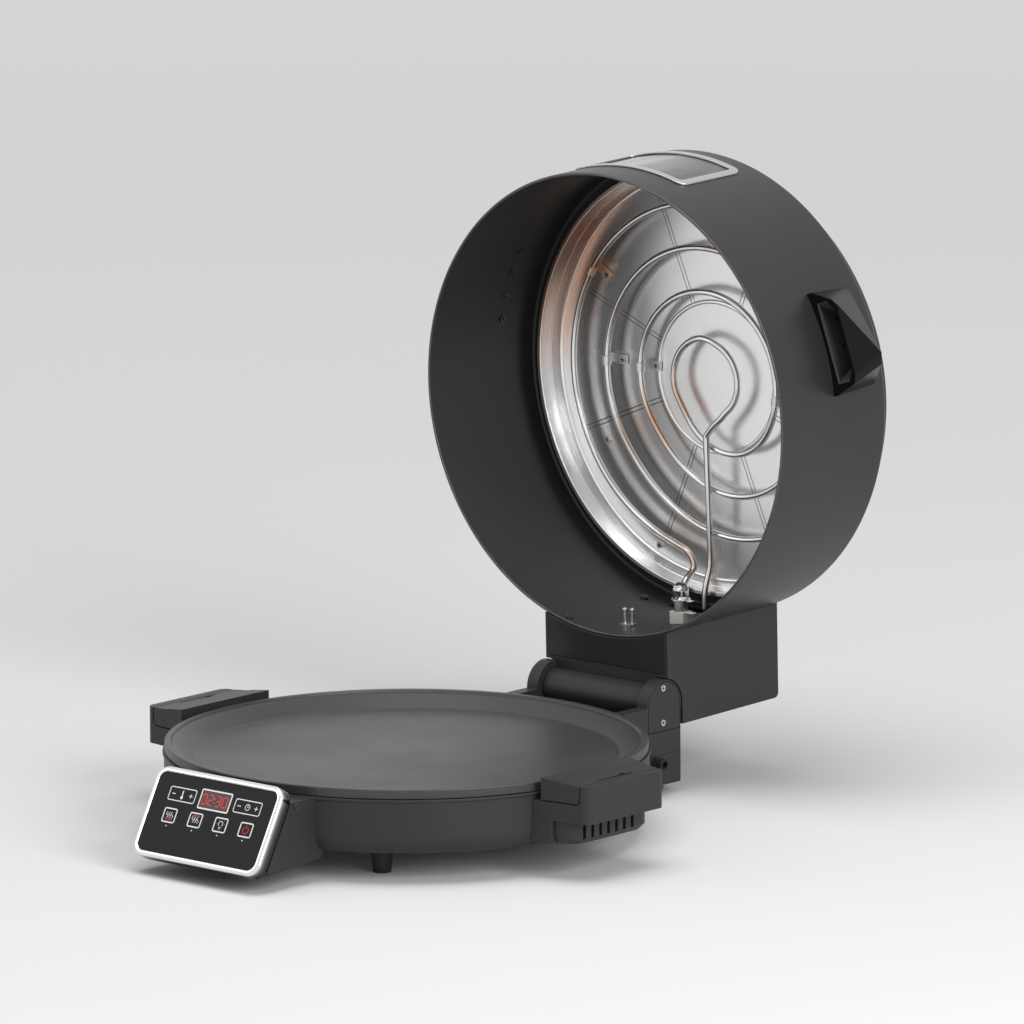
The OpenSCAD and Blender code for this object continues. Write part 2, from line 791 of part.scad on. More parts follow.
module baking_pan() color([0.16, 0.16, 0.17])
    at_pan() difference() {
        union() {
            rotate_extrude() difference() {
                polygon([
                    [0, pan_floor], [pan_r - rim_land - border_w, pan_floor],
                    [pan_r - rim_land - 4, rim_h - 5], [pan_r - 2, rim_h - 5],
                    [pan_r - 2, rim_h - skirt_h], [pan_r, rim_h - skirt_h], [pan_r, rim_h],
                    [0, rim_h]
                ]);
                polygon([
                    [0, rim_h - dish_depth], [pan_r - rim_land - border_w, rim_h - dish_depth],
                    [pan_r - rim_land - 2.5, rim_h - 1.8], [pan_r - rim_land, rim_h - 1.8],
                    [pan_r - rim_land + 0.8, rim_h], [0, rim_h + 1]
                ]);
            }
            both_sides() translate([pan_r - 6, -wing_ahead - lug_w / 2, lug_z])
                cube([26, lug_w, lug_h]);
        }
        pan_screw_places() translate([0, 0, lug_z - 1]) cylinder(r = 1.6, h = lug_h + 2);
    }

module pan_screw_places() {
    both_sides()
        for (along = [-8, 8])
            translate([handle_screw_x, -wing_ahead + along, 0]) children();
}

grip_z = wing_floor + grip_gap;
grip_x = tray_x - grip_gap;
grip_rise = 3.2;

module pan_handle_right() color([0.13, 0.13, 0.14])
    at_pan() difference() {
        intersection() {
            wing_block(wing_x, wing_corner, 0, grip_z, wing_top + grip_rise);
            along_wing() intersection() {
                tray_profile(grip_x, grip_z, tray_corner);
                // A top that rises towards the pan, with a step half way
                polygon([
                    [pan_r, grip_z], [grip_x, grip_z], [grip_x, wing_top],
                    [pan_r + 16, wing_top + grip_rise / 2 - 0.6],
                    [pan_r + 15, wing_top + grip_rise / 2], [pan_r, wing_top + grip_rise]
                ]);
            }
        }
        // Grip lines in the top
        translate([grip_x - 4.5, -wing_ahead - 18, wing_top - 0.8]) cube([2, 36, 2]);
        translate([grip_x - 7, 2, wing_top - 1.2]) cube([4, 6, 2]);
        cylinder(r = pan_r + hair, h = wing_top + grip_rise + 1);
        cylinder(r = lip_r + moving_gap, h = seam_z + moving_gap);
        // Pocket for the lug
        translate([0, -wing_ahead - lug_w / 2 - hair, lug_z - hair])
            cube([lug_x + hair, lug_w + 2 * hair, lug_h + 2 * hair]);
        pan_screw_places() {
            cylinder(r = 1.6, h = lug_z + 1);
            cylinder(r = 3.2, h = grip_z + 1.8);
        }
    }

module pan_handle_left() mirror([1, 0, 0]) pan_handle_right();

module pan_handle_screws() color([0.7, 0.7, 0.72])
    at_pan() pan_screw_places()
        translate([0, 0, grip_z + 1.8]) mirror([0, 0, 1]) screw(3, 1.6, 1.5, lug_z - grip_z);

// Drum: sheet steel wall with a hemmed rim, a shoulder and an inner hem for the reflector
cap_r = drum_r - shoulder_w;
reflector_z = drum_depth - reflector_rise;
reflector_r = drum_in - reflector_gap;
slot_z = reflector_z - 14;
lead1_x = -15.7;
lead2_x = 5;

module drum_solid(r, z0, z1, edge) {
    translate([0, 0, z1]) mirror([0, 0, 1]) bowl(r, 0, z1 - z0, edge);
}

module drum_shell() color([0.05, 0.05, 0.055])
    on_drum() difference() {
        union() {
            difference() {
                drum_solid(drum_r, 0, drum_depth, shoulder_round);
                drum_solid(drum_in, -1, drum_depth - drum_wall, shoulder_round - drum_wall);
            }
            ring(drum_r - 0.2, drum_in - 0.7, 0, 2.5);
            ring(cap_r + 0.6, cap_r - 0.6, reflector_z + 0.7, drum_depth - 0.2);
        }
        translate([0, 0, drum_depth - 5]) cylinder(r = cap_r - 0.6, h = 10);
        window_prism(frame_w - 1.5, 4);
        // Slot where the heating tube's leads pass into the rear box
        translate([lead1_x - 7, drum_in - 5, slot_z])
            cube([lead2_x - lead1_x + 14, 12, 12]);
        // Fixing holes of the side handles, lamp and probe
        both_sides() handle_screw_places() cylinder(r = 1.6, h = 12, center = true);
        cap_screw_places() cylinder(r = 1.5, h = 12, center = true);
        bottom_screw_places() cylinder(r = 1.6, h = 12, center = true);
    }

module handle_screw_places() {
    for (side = [-1, 1])
        for (step = [0.5, 1.5])
            rotate(-handle_angle - 1.8 + side * step * 6.4)
                translate([drum_in - hair, 0, handle_up + 18 + (step > 1 ? 1 : -1)])
                    rotate([0, -90, 0]) children();
}

// Two screws in the drum's back wall, one at the rim and one near the reflector
module bottom_screw_places() {
    for (z = [6.7, 88.6])
        rotate(90 + 14.3) translate([drum_in - hair, 0, z]) rotate([0, -90, 0]) children();
}

module wall_screws() color([0.55, 0.55, 0.57])
    on_drum() {
        both_sides() handle_screw_places() screw(2.6, 1.4, 1.5, 4);
        bottom_screw_places() screw(2.8, 1.6, 1.5, 1);
    }

module cap_screw_places() {
    for (turn = [0 : 60 : 300])
        rotate(turn) translate([cap_r + 5.3, 0, drum_depth]) children();
}

module top_cap() color([0.05, 0.05, 0.055])
    on_drum() difference() {
        union() {
            drum_solid(cap_r + 0.4, drum_depth, drum_depth + cap_h, 4);
            translate([0, 0, drum_depth]) cylinder(r = cap_r + 8, h = 0.9);
        }
        drum_solid(cap_r - 0.6, drum_depth - 1, drum_depth + cap_h - 1, 3);
        cap_screw_places() cylinder(r = 1.5, h = 12, center = true);
        translate([-box_w, pan_r - box_reach_in, drum_depth - 1]) cube([2 * box_w, 60, 2]);
    }

module cap_screws() color([0.5, 0.5, 0.52])
    on_drum() cap_screw_places() translate([0, 0, 0.9]) screw(2.6, 1.3, 1.4, 3);

// Reflector: a pressed dish, open towards the pan, with a ring and double ribs stamped in it
reflector_t = 0.6;
floor_z = reflector_z + reflector_depth;
floor_r = reflector_r - reflector_draft;
rib_in = bead_r + 1.8;
rib_out = floor_r - 13.5;

module reflector() color([0.85, 0.86, 0.88])
    on_drum() difference() {
        union() {
            rotate_extrude() polygon([
                [0, floor_z], [floor_r, floor_z], [reflector_r, reflector_z],
                [reflector_r + 3, reflector_z], [reflector_r + 3, reflector_z + reflector_t],
                [reflector_r + 0.6, reflector_z + reflector_t],
                [floor_r + 0.6, floor_z + reflector_t], [0, floor_z + reflector_t]
            ]);
            rotate_extrude() translate([bead_r, floor_z]) circle(0.5);
            for (i = [0 : rib_count - 1])
                rotate(22.5 + i * 360 / rib_count)
                    for (side = [-1, 1])
                        translate([rib_in, side * 1.6 - 0.3, floor_z - 0.4])
                            cube([rib_out - rib_in, 0.6, 0.6]);
        }
        reflector_screw_places() cylinder(r = 1.5, h = 8, center = true);
        clip_places() translate([clip_screw_in, 0, 0]) cylinder(r = 1.3, h = 8, center = true);
    }

module upper_insulation() color([0.86, 0.85, 0.8])
    on_drum() difference() {
        translate([0, 0, floor_z + reflector_t + hair])
            cylinder(r = floor_r - 6, h = drum_depth + cap_h - 1 - floor_z - reflector_t - 2 * hair);
        reflector_screw_places() cylinder(r = 1.9, h = 20, center = true);
        clip_places() translate([clip_screw_in, 0, 0]) cylinder(r = 1.7, h = 20, center = true);
    }

module reflector_screw_places() {
    for (place = [[208.9, 29.7], [246.4, 7.9], [331.1, 29.7], [61.1, 29.7]])
        rotate(-place[0]) translate([floor_r - place[1], 0, floor_z]) children();
}

module reflector_screws() color([0.7, 0.7, 0.72])
    on_drum() reflector_screw_places() mirror([0, 0, 1]) screw(2.6, 1.6, 1.4, 4.4);

// Upper heating tube: one unbroken spiral of four loops with two straight leads.
// Angles run clockwise as seen from the pan's side, and 90 is towards the window.
upper_z = floor_z - upper_clear;
lead_z = reflector_z - 5;
upper_loop_r = drum_in - upper_in;
upper_pitch = (upper_loop_r - upper_third_r) / 2;
inner_loop = [
    [-865, 33], [-888, 33], [-977, 30.7], [-1008, 28], [-1101, 28],
    [-1132, 28.6], [-1156, 33], [-1167, 40]
];

function loop_step(angle, start) = smooth((start - angle) / 115);
function upper_radius(angle) =
    angle < -865 ? lookup(angle, inner_loop)
    : upper_loop_r - upper_pitch * (loop_step(angle, -30) + loop_step(angle, -390)
        + loop_step(angle, -750) * (upper_loop_r - 2 * upper_pitch - 33) / upper_pitch);
function upper_level(angle) = upper_z - 5.4 * smooth((-1095 - angle) / 70);
function on_face(x, w, z) = [x, -w, z];

lead1_bend = 13;
upper_route = concat(
    [
        on_face(lead1_x, -drum_r - 14, lead_z), on_face(lead1_x, -drum_in + 6, lead_z),
        on_face(lead1_x, -drum_in + 14.7, lead_z), on_face(lead1_x, -drum_in + 19.7, lead_z + 4),
        on_face(lead1_x, -drum_in + 23.7, upper_z - 3)
    ],
    [
        for (a = [0 : 19 : 76])
            on_face(lead1_x - lead1_bend * (1 - cos(a)), lead1_bend * sin(a) - drum_in + 26.7, upper_z)
    ],
    [
        for (angle = concat([for (a = [254 : -6 : -865]) a], [for (a = [-874 : -9 : -1167]) a], [-1167]))
            let (r = upper_radius(angle))
            on_face(r * cos(angle), r * sin(angle), upper_level(angle))
    ],
    [
        for (t = [0.08 : 0.12 : 1])
            on_face(2.1 + 2.9 * t, -40 - (drum_in - 60.7) * t, upper_z - 5.4)
    ],
    [
        on_face(lead2_x, -drum_in + 16.7, lead_z), on_face(lead2_x, -drum_in + 6, lead_z),
        on_face(lead2_x, -drum_r - 14, lead_z)
    ]
);

module upper_element() color([0.62, 0.6, 0.58])
    on_drum() tube_along(upper_route, upper_tube_d / 2);

// Clips: a strap round the tube on a foot that is screwed to the reflector's floor
clip_list = [[148, 0], [178, 1], [178, 2], [32, 0], [353, 2]];
clip_screw_in = -8;
clip_half = 3.5;
strap = 0.8;
clip_lift = 0.55;

module clip_places() {
    for (c = clip_list)
        rotate(-c[0]) translate([upper_loop_r - upper_pitch * c[1], 0, floor_z]) children();
}

module element_clips() color([0.7, 0.68, 0.66])
    on_drum() clip_places() difference() {
        union() {
            translate([-12, -clip_half, -strap - clip_lift]) cube([15, 2 * clip_half, strap]);
            translate([upper_tube_d / 2 + 0.3, -clip_half, -upper_clear])
                cube([strap, 2 * clip_half, upper_clear - clip_lift]);
            translate([0, -clip_half, -upper_clear])
                rotate([-90, 0, 0]) cylinder(r = upper_tube_d / 2 + 0.3 + strap, h = 2 * clip_half);
        }
        translate([0, -clip_half - 1, -upper_clear])
            rotate([-90, 0, 0]) cylinder(r = upper_tube_d / 2 + 0.3, h = 2 * clip_half + 2);
        translate([clip_screw_in, 0, -strap - clip_lift - 1]) cylinder(r = 1.3, h = 3);
    }

module clip_screws() color([0.7, 0.7, 0.72])
    on_drum() clip_places() translate([clip_screw_in, 0, -strap - clip_lift])
        mirror([0, 0, 1]) screw(2.4, 1.4, 1.2, 4.4);

module outside_drum() {
    difference() {
        cylinder(r = drum_r + 20, h = drum_depth, $fn = 720);
        translate([0, 0, -1]) cylinder(r = drum_in - hair, h = drum_depth + 2, $fn = 720);
    }
}

// Lamp: a ceramic block on the drum's wall, a socket, a flange and a glass cap in one line
lamp_x = 23.8;
lamp_z = 54;
block_h = 9;
socket_h = 7.5;

module on_back_wall(x, z) {
    // Z points from the drum's back wall towards its axis
    on_drum() translate([x, sqrt(drum_in * drum_in - x * x), z]) rotate([90, 0, 0]) children();
}

module lamp_block() color([0.92, 0.91, 0.86])
    difference() {
        on_back_wall(lamp_x, lamp_z) {
            translate([-6.5, -5.5, -3]) cube([13, 11, block_h + 3]);
            translate([6, -2, block_h - 1.2]) cube([7, 4, 1.2]);
        }
        on_drum() outside_drum();
    }

module lamp_socket() color([0.55, 0.55, 0.53])
    on_back_wall(lamp_x, lamp_z) translate([0, 0, block_h]) cylinder(r = 5.4, h = socket_h);

module lamp_flange() color([0.85, 0.85, 0.87])
    on_back_wall(lamp_x, lamp_z) translate([0, 0, block_h + socket_h]) {
        difference() {
            cylinder(r = 7, h = 1.4);
            translate([0, 0, 0.4]) cylinder(r = 5.8, h = 2);
        }
        translate([6, -2, 0]) cube([5, 4, 1]);
    }

module lamp_glass() color([0.9, 0.92, 0.92, 0.4])
    on_back_wall(lamp_x, lamp_z) translate([0, 0, block_h + socket_h + 0.5]) difference() {
        union() {
            cylinder(r = 5.7, h = 7.5);
            translate([0, 0, 7.5]) intersection() {
                sphere(r = 5.7);
                translate([0, 0, 5]) cube([12, 12, 10], center = true);
            }
        }
        cylinder(r = 4.9, h = 7.5);
    }

// Probe: two posts with round heads on a foot that is screwed to the drum's back wall
probe_x = -9.5;
probe_z = 31.8;

module lid_probe() color([0.75, 0.75, 0.77])
    difference() {
        on_back_wall(probe_x, probe_z) {
            translate([-3, -3.5, -2]) cube([10, 8, 3]);
            for (px = [0, 5.2])
                translate([px, px * 0.4 - 1, 0]) rotate_extrude() {
                    square([1.3, 11]);
                    translate([0, 9.6]) square([1.2, 2.8]);
                    translate([0, 10.2]) square([2, 1.6]);
                }
        }
        on_drum() outside_drum();
    }

// Window in the drum's front, with a bright frame outside and curved glass behind it
module window_prism(inset, r) {
    translate([0, -drum_r - 10, window_up + window_h / 2])
        rotate([-90, 0, 0]) linear_extrude(40) rounded(window_w - 2 * inset, window_h - 2 * inset, r);
}

module window_frame() color([0.8, 0.8, 0.82])
    on_drum() intersection() {
        ring(drum_r + 1.5, drum_r + 0.05, 0, drum_depth);
        difference() {
            window_prism(0, 7);
            window_prism(frame_w, 4);
        }
    }

module window_glass() color([0.35, 0.37, 0.38, 0.5])
    on_drum() intersection() {
        ring(drum_r - 0.1, drum_in - 1.2, 0, drum_depth);
        window_prism(frame_w - 1.5 + 0.2, 4);
    }

// Side handles: a faceted cup whose finger recess is open towards the lid's rim. It is drawn
// as slices at three heights: its mouth, its crest and its foot on the drum.
grip_wall = 2;
grip_lip = 2.5;
crest_h = handle_h - 12;
recess_h = crest_h - 6;

function mouth_outline(half, out) = [
    [drum_r - 12, -half], [drum_r, -half], [out - 3, -half + 5], [out, -half + 11],
    [out, half - 13], [out - 4, half - 8], [drum_r, half], [drum_r - 12, half]
];
function crest_outline(half, out) = [
    [drum_r - 12, -half + 7], [drum_r - 3, -half + 7], [out - 1, -half + 13.6],
    [out + 2, -half + 21.6], [drum_r + 2.4, half - 11], [drum_r - 12, half - 11]
];
function foot_outline(half) = [
    [drum_r - 12, -half + 2], [drum_r - 2, -half + 2], [drum_r + 1.5, -half / 3],
    [drum_r + 1.5, half / 3], [drum_r - 2, half - 2], [drum_r - 12, half - 2]
];

// The recess is widest at its mouth, and follows the slope of the crest inside
function mouth_hole(half, out) = [
    [drum_r - 5, -half + 7.5], [out - 7, -half + 7.5], [out - grip_wall, -half + 15.5],
    [out - grip_wall, half - 17], [out - 8.5, half - 8.5], [drum_r - 5, half - 8.5]
];
function deep_hole(half, out) = [
    [drum_r - 5, -half + 19.5], [out - grip_wall - 0.5, -half + 19.5],
    [out - grip_wall - 0.5, -half + 29.5], [out - 5, 0], [out - 14, half - 19.5],
    [drum_r - 5, half - 19.5]
];

module slice(z, t) {
    translate([0, 0, handle_up + z]) linear_extrude(t) children();
}

module lid_handle_right() color([0.03, 0.03, 0.03])
    on_drum() difference() {
        rotate(-handle_angle) mirror([0, 1, 0]) difference() {
            hull() {
                slice(0, 1) polygon(mouth_outline(handle_len / 2, drum_r + handle_out));
                slice(crest_h, 1) polygon(crest_outline(handle_len / 2, drum_r + handle_out));
                slice(handle_h - 1, 1) polygon(foot_outline(handle_len / 2));
            }
            // Finger recess
            difference() {
                hull() {
                    slice(-1, 1) polygon(mouth_hole(handle_len / 2, drum_r + handle_out));
                    slice(recess_h, 1) polygon(deep_hole(handle_len / 2, drum_r + handle_out));
                }
                translate([0, 0, handle_up - 2]) cylinder(r = drum_r + grip_wall, h = handle_h);
                // Low straight lip along the rim side
                slice(-2, 2 + grip_lip)
                    translate([0, -handle_len / 2]) square([drum_r + 3, handle_len]);
            }
        }
        translate([0, 0, -1]) cylinder(r = drum_r + hair, h = drum_depth + 30);
        handle_screw_places() translate([0, 0, -4.4]) cylinder(r = 1.55, h = 12);
    }

module lid_handle_left() mirror([1, 0, 0]) lid_handle_right();

// Rear box: a hollow housing behind the drum that carries the hinge barrel
box_reach_in = 14;
box_top = lid_z + drum_depth + box_over;
box_bottom = hinge_z + box_lift;

module box_outline(t) {
    // Side outline with the lid closed: front towards the drum, rounded back edges
    y0 = pan_y + pan_r - 40;
    y1 = hinge_y + box_back - t;
    z0 = box_bottom + t;
    z1 = box_top - t;
    r = 4;
    translate([y0, z0]) square([y1 - y0 - r, z1 - z0]);
    translate([y0, z0 + r]) square([y1 - y0, z1 - z0 - 2 * r]);
    for (z = [z0 + r, z1 - r])
        translate([y1 - r, z]) circle(r);
}

module ear_notch() {
    // Room for the ears, with the lid closed and on its way back
    both_sides() along_x(ear_in - 0.6, box_w) {
        translate([hinge_y, hinge_z]) circle(ear_r + 0.7);
        translate([hinge_y - 0.5, hinge_z - 1]) square([box_back + 10, ear_r + 1.8]);
    }
}

module notch_wall() {
    // Inner wall that follows the notch
    both_sides() along_x(ear_in - 0.6 - 2.2, box_w / 2) {
        translate([hinge_y, hinge_z]) circle(ear_r + 2.9);
        translate([hinge_y - 0.5, hinge_z - 1]) square([box_back + 0.5, ear_r + 4]);
    }
}

module clear_of_drum() {
    translate([0, pan_y, 0]) cylinder(r = drum_r + hair, h = lid_z + drum_depth + 0.05);
    translate([0, pan_y, lid_z + drum_depth]) cylinder(r = cap_r + 8 + hair, h = 40);
}

module rear_box() color([0.13, 0.13, 0.14])
    open_lid() difference() {
        along_x(-box_w / 2, box_w / 2) box_outline(0);
        difference() {
            along_x(-box_w / 2 + 2.2, box_w / 2 - 2.2) box_outline(2.2);
            notch_wall();
            barrel_place(barrel_r + 2.3, ear_in - 0.6);
        }
        // Rebate for the cover plate under the box
        translate([-box_w / 2 + 3, pan_y, box_bottom - 1])
            cube([box_w - 6, hinge_y - barrel_r - 8 - pan_y, 3.3]);
        ear_notch();
        barrel_place(barrel_r + hair, ear_in - 0.6);
        clear_of_drum();
    }

module box_cover() color([0.1, 0.1, 0.11])
    open_lid() difference() {
        translate([-box_w / 2 + 3 + hair, pan_y, box_bottom])
            cube([box_w - 6 - 2 * hair, hinge_y - barrel_r - 8 - hair - pan_y, 2]);
        ear_notch();
        clear_of_drum();
    }

module barrel_place(r, half) {
    translate([-half, hinge_y, hinge_z]) rotate([0, 90, 0]) cylinder(r = r, h = 2 * half);
}

module hinge_barrel() color([0.14, 0.14, 0.15])
    open_lid() difference() {
        barrel_place(barrel_r, ear_in - moving_gap - 0.2);
        both_sides() translate([ear_in - 24, hinge_y, hinge_z])
            rotate([0, 90, 0]) cylinder(r = pin_r + 0.02, h = 30);
        translate([-ear_in + 26, hinge_y, hinge_z])
            rotate([0, 90, 0]) cylinder(r = 8, h = 2 * ear_in - 52);
    }

module hinge_pins() color([0.75, 0.75, 0.77])
    open_lid() both_sides() translate([ear_in - 23.5, hinge_y, hinge_z])
        rotate([0, 90, 0]) cylinder(r = pin_r, h = 23.5 + ear_w - cover_t - 0.4);

// Ceramic sleeves on the ends of the heating tube, inside the rear box
module element_terminals() color([0.9, 0.88, 0.82])
    on_drum() for (x = [lead1_x, lead2_x])
        translate([x, drum_r + 6, lead_z]) rotate([-90, 0, 0]) difference() {
            cylinder(r = 5, h = 16);
            translate([0, 0, -1]) cylinder(r = upper_tube_d / 2 + hair, h = 9 + 1);
        }

base_shell();
bottom_plate();
base_screws();
feet();
foot_pads();
lower_reflector();
lower_insulation();
lower_element();
lower_element_clips();
pan_probe();
probe_holder();
thermal_cutout();
control_box();
panel_bezel();
control_panel();
display_module();
control_board();
side_screws();
wing_left();
wing_right();
wing_vent_left();
wing_vent_right();
hinge_tower();
tower_tub();
ear_cover_left();
ear_cover_right();
ear_screws();
hinge_bushes();
cord_bushing();
terminal_block();
baking_pan();
pan_handle_left();
pan_handle_right();
pan_handle_screws();
drum_shell();
top_cap();
cap_screws();
reflector();
upper_insulation();
upper_element();
element_clips();
clip_screws();
reflector_screws();
lamp_block();
lamp_socket();
lamp_flange();
lamp_glass();
lid_probe();
wall_screws();
window_frame();
window_glass();
lid_handle_left();
lid_handle_right();
rear_box();
box_cover();
hinge_barrel();
hinge_pins();
element_terminals();
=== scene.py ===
from math import atan2, cos, degrees, hypot, pi, radians, sin

import bmesh
import bpy
from mathutils import Matrix, Vector


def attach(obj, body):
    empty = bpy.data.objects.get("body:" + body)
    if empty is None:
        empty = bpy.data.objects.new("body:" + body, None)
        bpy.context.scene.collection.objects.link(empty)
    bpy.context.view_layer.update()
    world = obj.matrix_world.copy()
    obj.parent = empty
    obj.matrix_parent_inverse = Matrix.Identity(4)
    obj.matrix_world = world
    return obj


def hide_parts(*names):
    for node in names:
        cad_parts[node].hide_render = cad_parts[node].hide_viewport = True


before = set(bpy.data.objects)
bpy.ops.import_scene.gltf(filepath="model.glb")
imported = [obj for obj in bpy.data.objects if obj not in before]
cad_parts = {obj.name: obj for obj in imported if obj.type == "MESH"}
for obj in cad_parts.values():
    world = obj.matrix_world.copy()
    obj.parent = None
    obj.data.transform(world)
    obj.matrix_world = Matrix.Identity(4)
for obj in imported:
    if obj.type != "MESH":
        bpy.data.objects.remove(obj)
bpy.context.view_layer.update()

# Studio: a pale floor that the appliance stands on, a wide soft lamp to the right of the camera,
# one to the left and one overhead, and the camera at the photograph's angle.
MM = 0.001
scene = bpy.context.scene
scene.view_settings.view_transform = "Standard"


class Value:
    """A node's output that can be used in plain arithmetic."""

    def __init__(self, tree, socket):
        self.tree, self.socket = tree, socket

    def maths(self, operation, *items):
        node = self.tree.nodes.new("ShaderNodeMath")
        node.operation = operation
        for slot, item in zip(node.inputs, items):
            if isinstance(item, Value):
                self.tree.links.new(item.socket, slot)
            else:
                slot.default_value = item
        return Value(self.tree, node.outputs[0])

    def __add__(self, other): return self.maths("ADD", self, other)
    def __radd__(self, other): return self.maths("ADD", other, self)
    def __sub__(self, other): return self.maths("SUBTRACT", self, other)
    def __rsub__(self, other): return self.maths("SUBTRACT", other, self)
    def __mul__(self, other): return self.maths("MULTIPLY", self, other)
    def __rmul__(self, other): return self.maths("MULTIPLY", other, self)
    def __truediv__(self, other): return self.maths("DIVIDE", self, other)
    def __rtruediv__(self, other): return self.maths("DIVIDE", other, self)
    def __gt__(self, other): return self.maths("GREATER_THAN", self, other)
    def __lt__(self, other): return self.maths("LESS_THAN", self, other)
    def __abs__(self): return self.maths("ABSOLUTE", self)

    def held(self, low, high):
        """The value, never under low or over high."""
        above = self.maths("MAXIMUM", self, low)
        return above.maths("MINIMUM", above, high)


class Finish:
    """One material: a Principled shader whose fixed values are given by name."""

    def __init__(self, name, **fixed):
        self.material = bpy.data.materials.new(name)
        self.material.use_nodes = True
        self.tree = self.material.node_tree
        self.shader = self.tree.nodes["Principled BSDF"]
        for socket, value in fixed.items():
            socket = socket.replace("_", " ")
            if isinstance(value, tuple) and len(value) == 3:
                value = (*value, 1)
            self.shader.inputs[socket].default_value = value

    def node(self, kind, settings=None, output=0, **inputs):
        """Adds a node: its settings first, then a value or link for each named socket.
        A socket that shares its name is given by its number, as i0 or i1."""
        made = self.tree.nodes.new("ShaderNode" + kind)
        for key, value in (settings or {}).items():
            if key == "stops":
                ramp = made.color_ramp.elements
                while len(ramp) < len(value):
                    ramp.new(0.5)
                for stop, (place, colour) in zip(ramp, value):
                    stop.position = place
                    stop.color = (*colour, 1)
            else:
                setattr(made, key, value)
        for key, value in inputs.items():
            socket = made.inputs[int(key[1:])] if key[0] == "i" and key[1:].isdigit() \
                else made.inputs[key.replace("_", " ")]
            if isinstance(value, Value):
                self.tree.links.new(value.socket, socket)
            else:
                socket.default_value = value
        return Value(self.tree, made.outputs[output])

    def place(self):
        """Object coordinates, in metres."""
        return self.node("TexCoord", output=3)

    def noise(self, scale, detail, place=None):
        return self.node("TexNoise", Vector=place or self.place(), Scale=scale, Detail=detail,
                         Roughness=0.5)

    def drive(self, socket, value):
        self.tree.links.new(value.socket, self.shader.inputs[socket])

    def bump(self, height, distance, strength=1.0):
        self.drive("Normal", self.node("Bump", Height=height, Distance=distance,
                                       Strength=strength))


def link(thing):
    scene.collection.objects.link(thing)
    return thing


VIEW_AZIMUTH, VIEW_ELEVATION, VIEW_ROLL = radians(41.6805), radians(10.9776), radians(0.1147)
VIEW_TARGET = Vector((55.46, -10.62, 229.49)) * MM
VIEW_DISTANCE = 7899.45 * MM
FOCAL_PIXELS = 11295.4
PHOTO_WIDTH = 1024
back = Vector((sin(VIEW_AZIMUTH) * cos(VIEW_ELEVATION),
               -cos(VIEW_AZIMUTH) * cos(VIEW_ELEVATION), sin(VIEW_ELEVATION)))
camera_data = bpy.data.cameras.new("camera")
camera_data.sensor_width = 36
camera_data.lens = FOCAL_PIXELS * 36 / PHOTO_WIDTH
camera_data.clip_end = 100
camera = link(bpy.data.objects.new("camera", camera_data))
camera.location = VIEW_TARGET + back * VIEW_DISTANCE
camera.rotation_mode = "QUATERNION"
camera.rotation_quaternion = ((-back).to_track_quat("-Z", "Y")
                              @ Matrix.Rotation(-VIEW_ROLL, 3, "Z").to_quaternion())
scene.camera = camera

PALE = (0.80, 0.80, 0.80)
FLOOR_HALF = 12
FADE_REACH = 10
floor_mesh = bpy.data.meshes.new("floor")
work = bmesh.new()
bmesh.ops.create_grid(work, x_segments=1, y_segments=1, size=FLOOR_HALF)
work.to_mesh(floor_mesh)
work.free()
floor = link(bpy.data.objects.new("floor", floor_mesh))
floor_finish = Finish("floor_pale", Base_Color=PALE, Roughness=0.9, Emission_Strength=1.0)
away = floor_finish.node("VectorMath", {"operation": "LENGTH"}, 1, i0=floor_finish.place())
floor_finish.drive("Emission Color", floor_finish.node(
    "ValToRGB", {"stops": [(0.06, (0, 0, 0)), (0.20, (0.17, 0.17, 0.17)),
                           (0.5, (0.40, 0.40, 0.40))]}, Fac=away / FADE_REACH))
floor_mesh.materials.append(floor_finish.material)

SKY_LIGHT, SKY_SEEN = 0.30, 0.86
world = bpy.data.worlds.new("studio")
scene.world = world
world.use_nodes = True
sky = world.node_tree.nodes["Background"]
sky.inputs["Color"].default_value = (1, 1, 1, 1)
rays = world.node_tree.nodes.new("ShaderNodeLightPath")
shown = world.node_tree.nodes.new("ShaderNodeMapRange")
seen = [Value(world.node_tree, rays.outputs[f"Is {kind} Ray"])
        for kind in ("Camera", "Glossy", "Transmission")]
world.node_tree.links.new((seen[0] + seen[1] + seen[2]).socket, shown.inputs["Value"])
shown.inputs["To Min"].default_value = SKY_LIGHT
shown.inputs["To Max"].default_value = SKY_SEEN
world.node_tree.links.new(shown.outputs["Result"], sky.inputs["Strength"])


def soft_lamp(name, place, aim, size, power):
    data = bpy.data.lights.new(name, "AREA")
    data.shape = "RECTANGLE"
    data.size, data.size_y = size
    data.energy = power
    lamp = link(bpy.data.objects.new(name, data))
    lamp.location = place
    lamp.rotation_euler = (Vector(aim) - Vector(place)).to_track_quat("-Z", "Y").to_euler()


soft_lamp("lamp_right", (3.0, -0.6, 1.6), (0, 0, 0.2), (1.6, 1.8), 68)
soft_lamp("lamp_left", (-2.4, -2.6, 1.9), (0, 0, 0.2), (1.4, 1.6), 6.5)
soft_lamp("lamp_over", (0.2, -0.4, 2.8), (0, 0, 0.1), (2.2, 1.8), 44)


# Base body: one dark moulding with a rounded lower edge and a lip that the pan's skirt covers.
# The moulded finish is a fine, even grain that every dark plastic part shares.
PAN_Y = -60
LID_Z = 70.5
HINGE_Y, HINGE_Z = 150, 66
OPEN_ANGLE = 88.5
AT_PAN = Matrix.Translation((0, PAN_Y, 0))
OPENED = (Matrix.Translation((0, HINGE_Y, HINGE_Z)) @ Matrix.Rotation(-radians(OPEN_ANGLE), 4, "X")
          @ Matrix.Translation((0, -HINGE_Y, -HINGE_Z)))
ON_DRUM = OPENED @ Matrix.Translation((0, PAN_Y, LID_Z))


CLOUD_SCALE, GRAIN_SCALE = 9, 2600


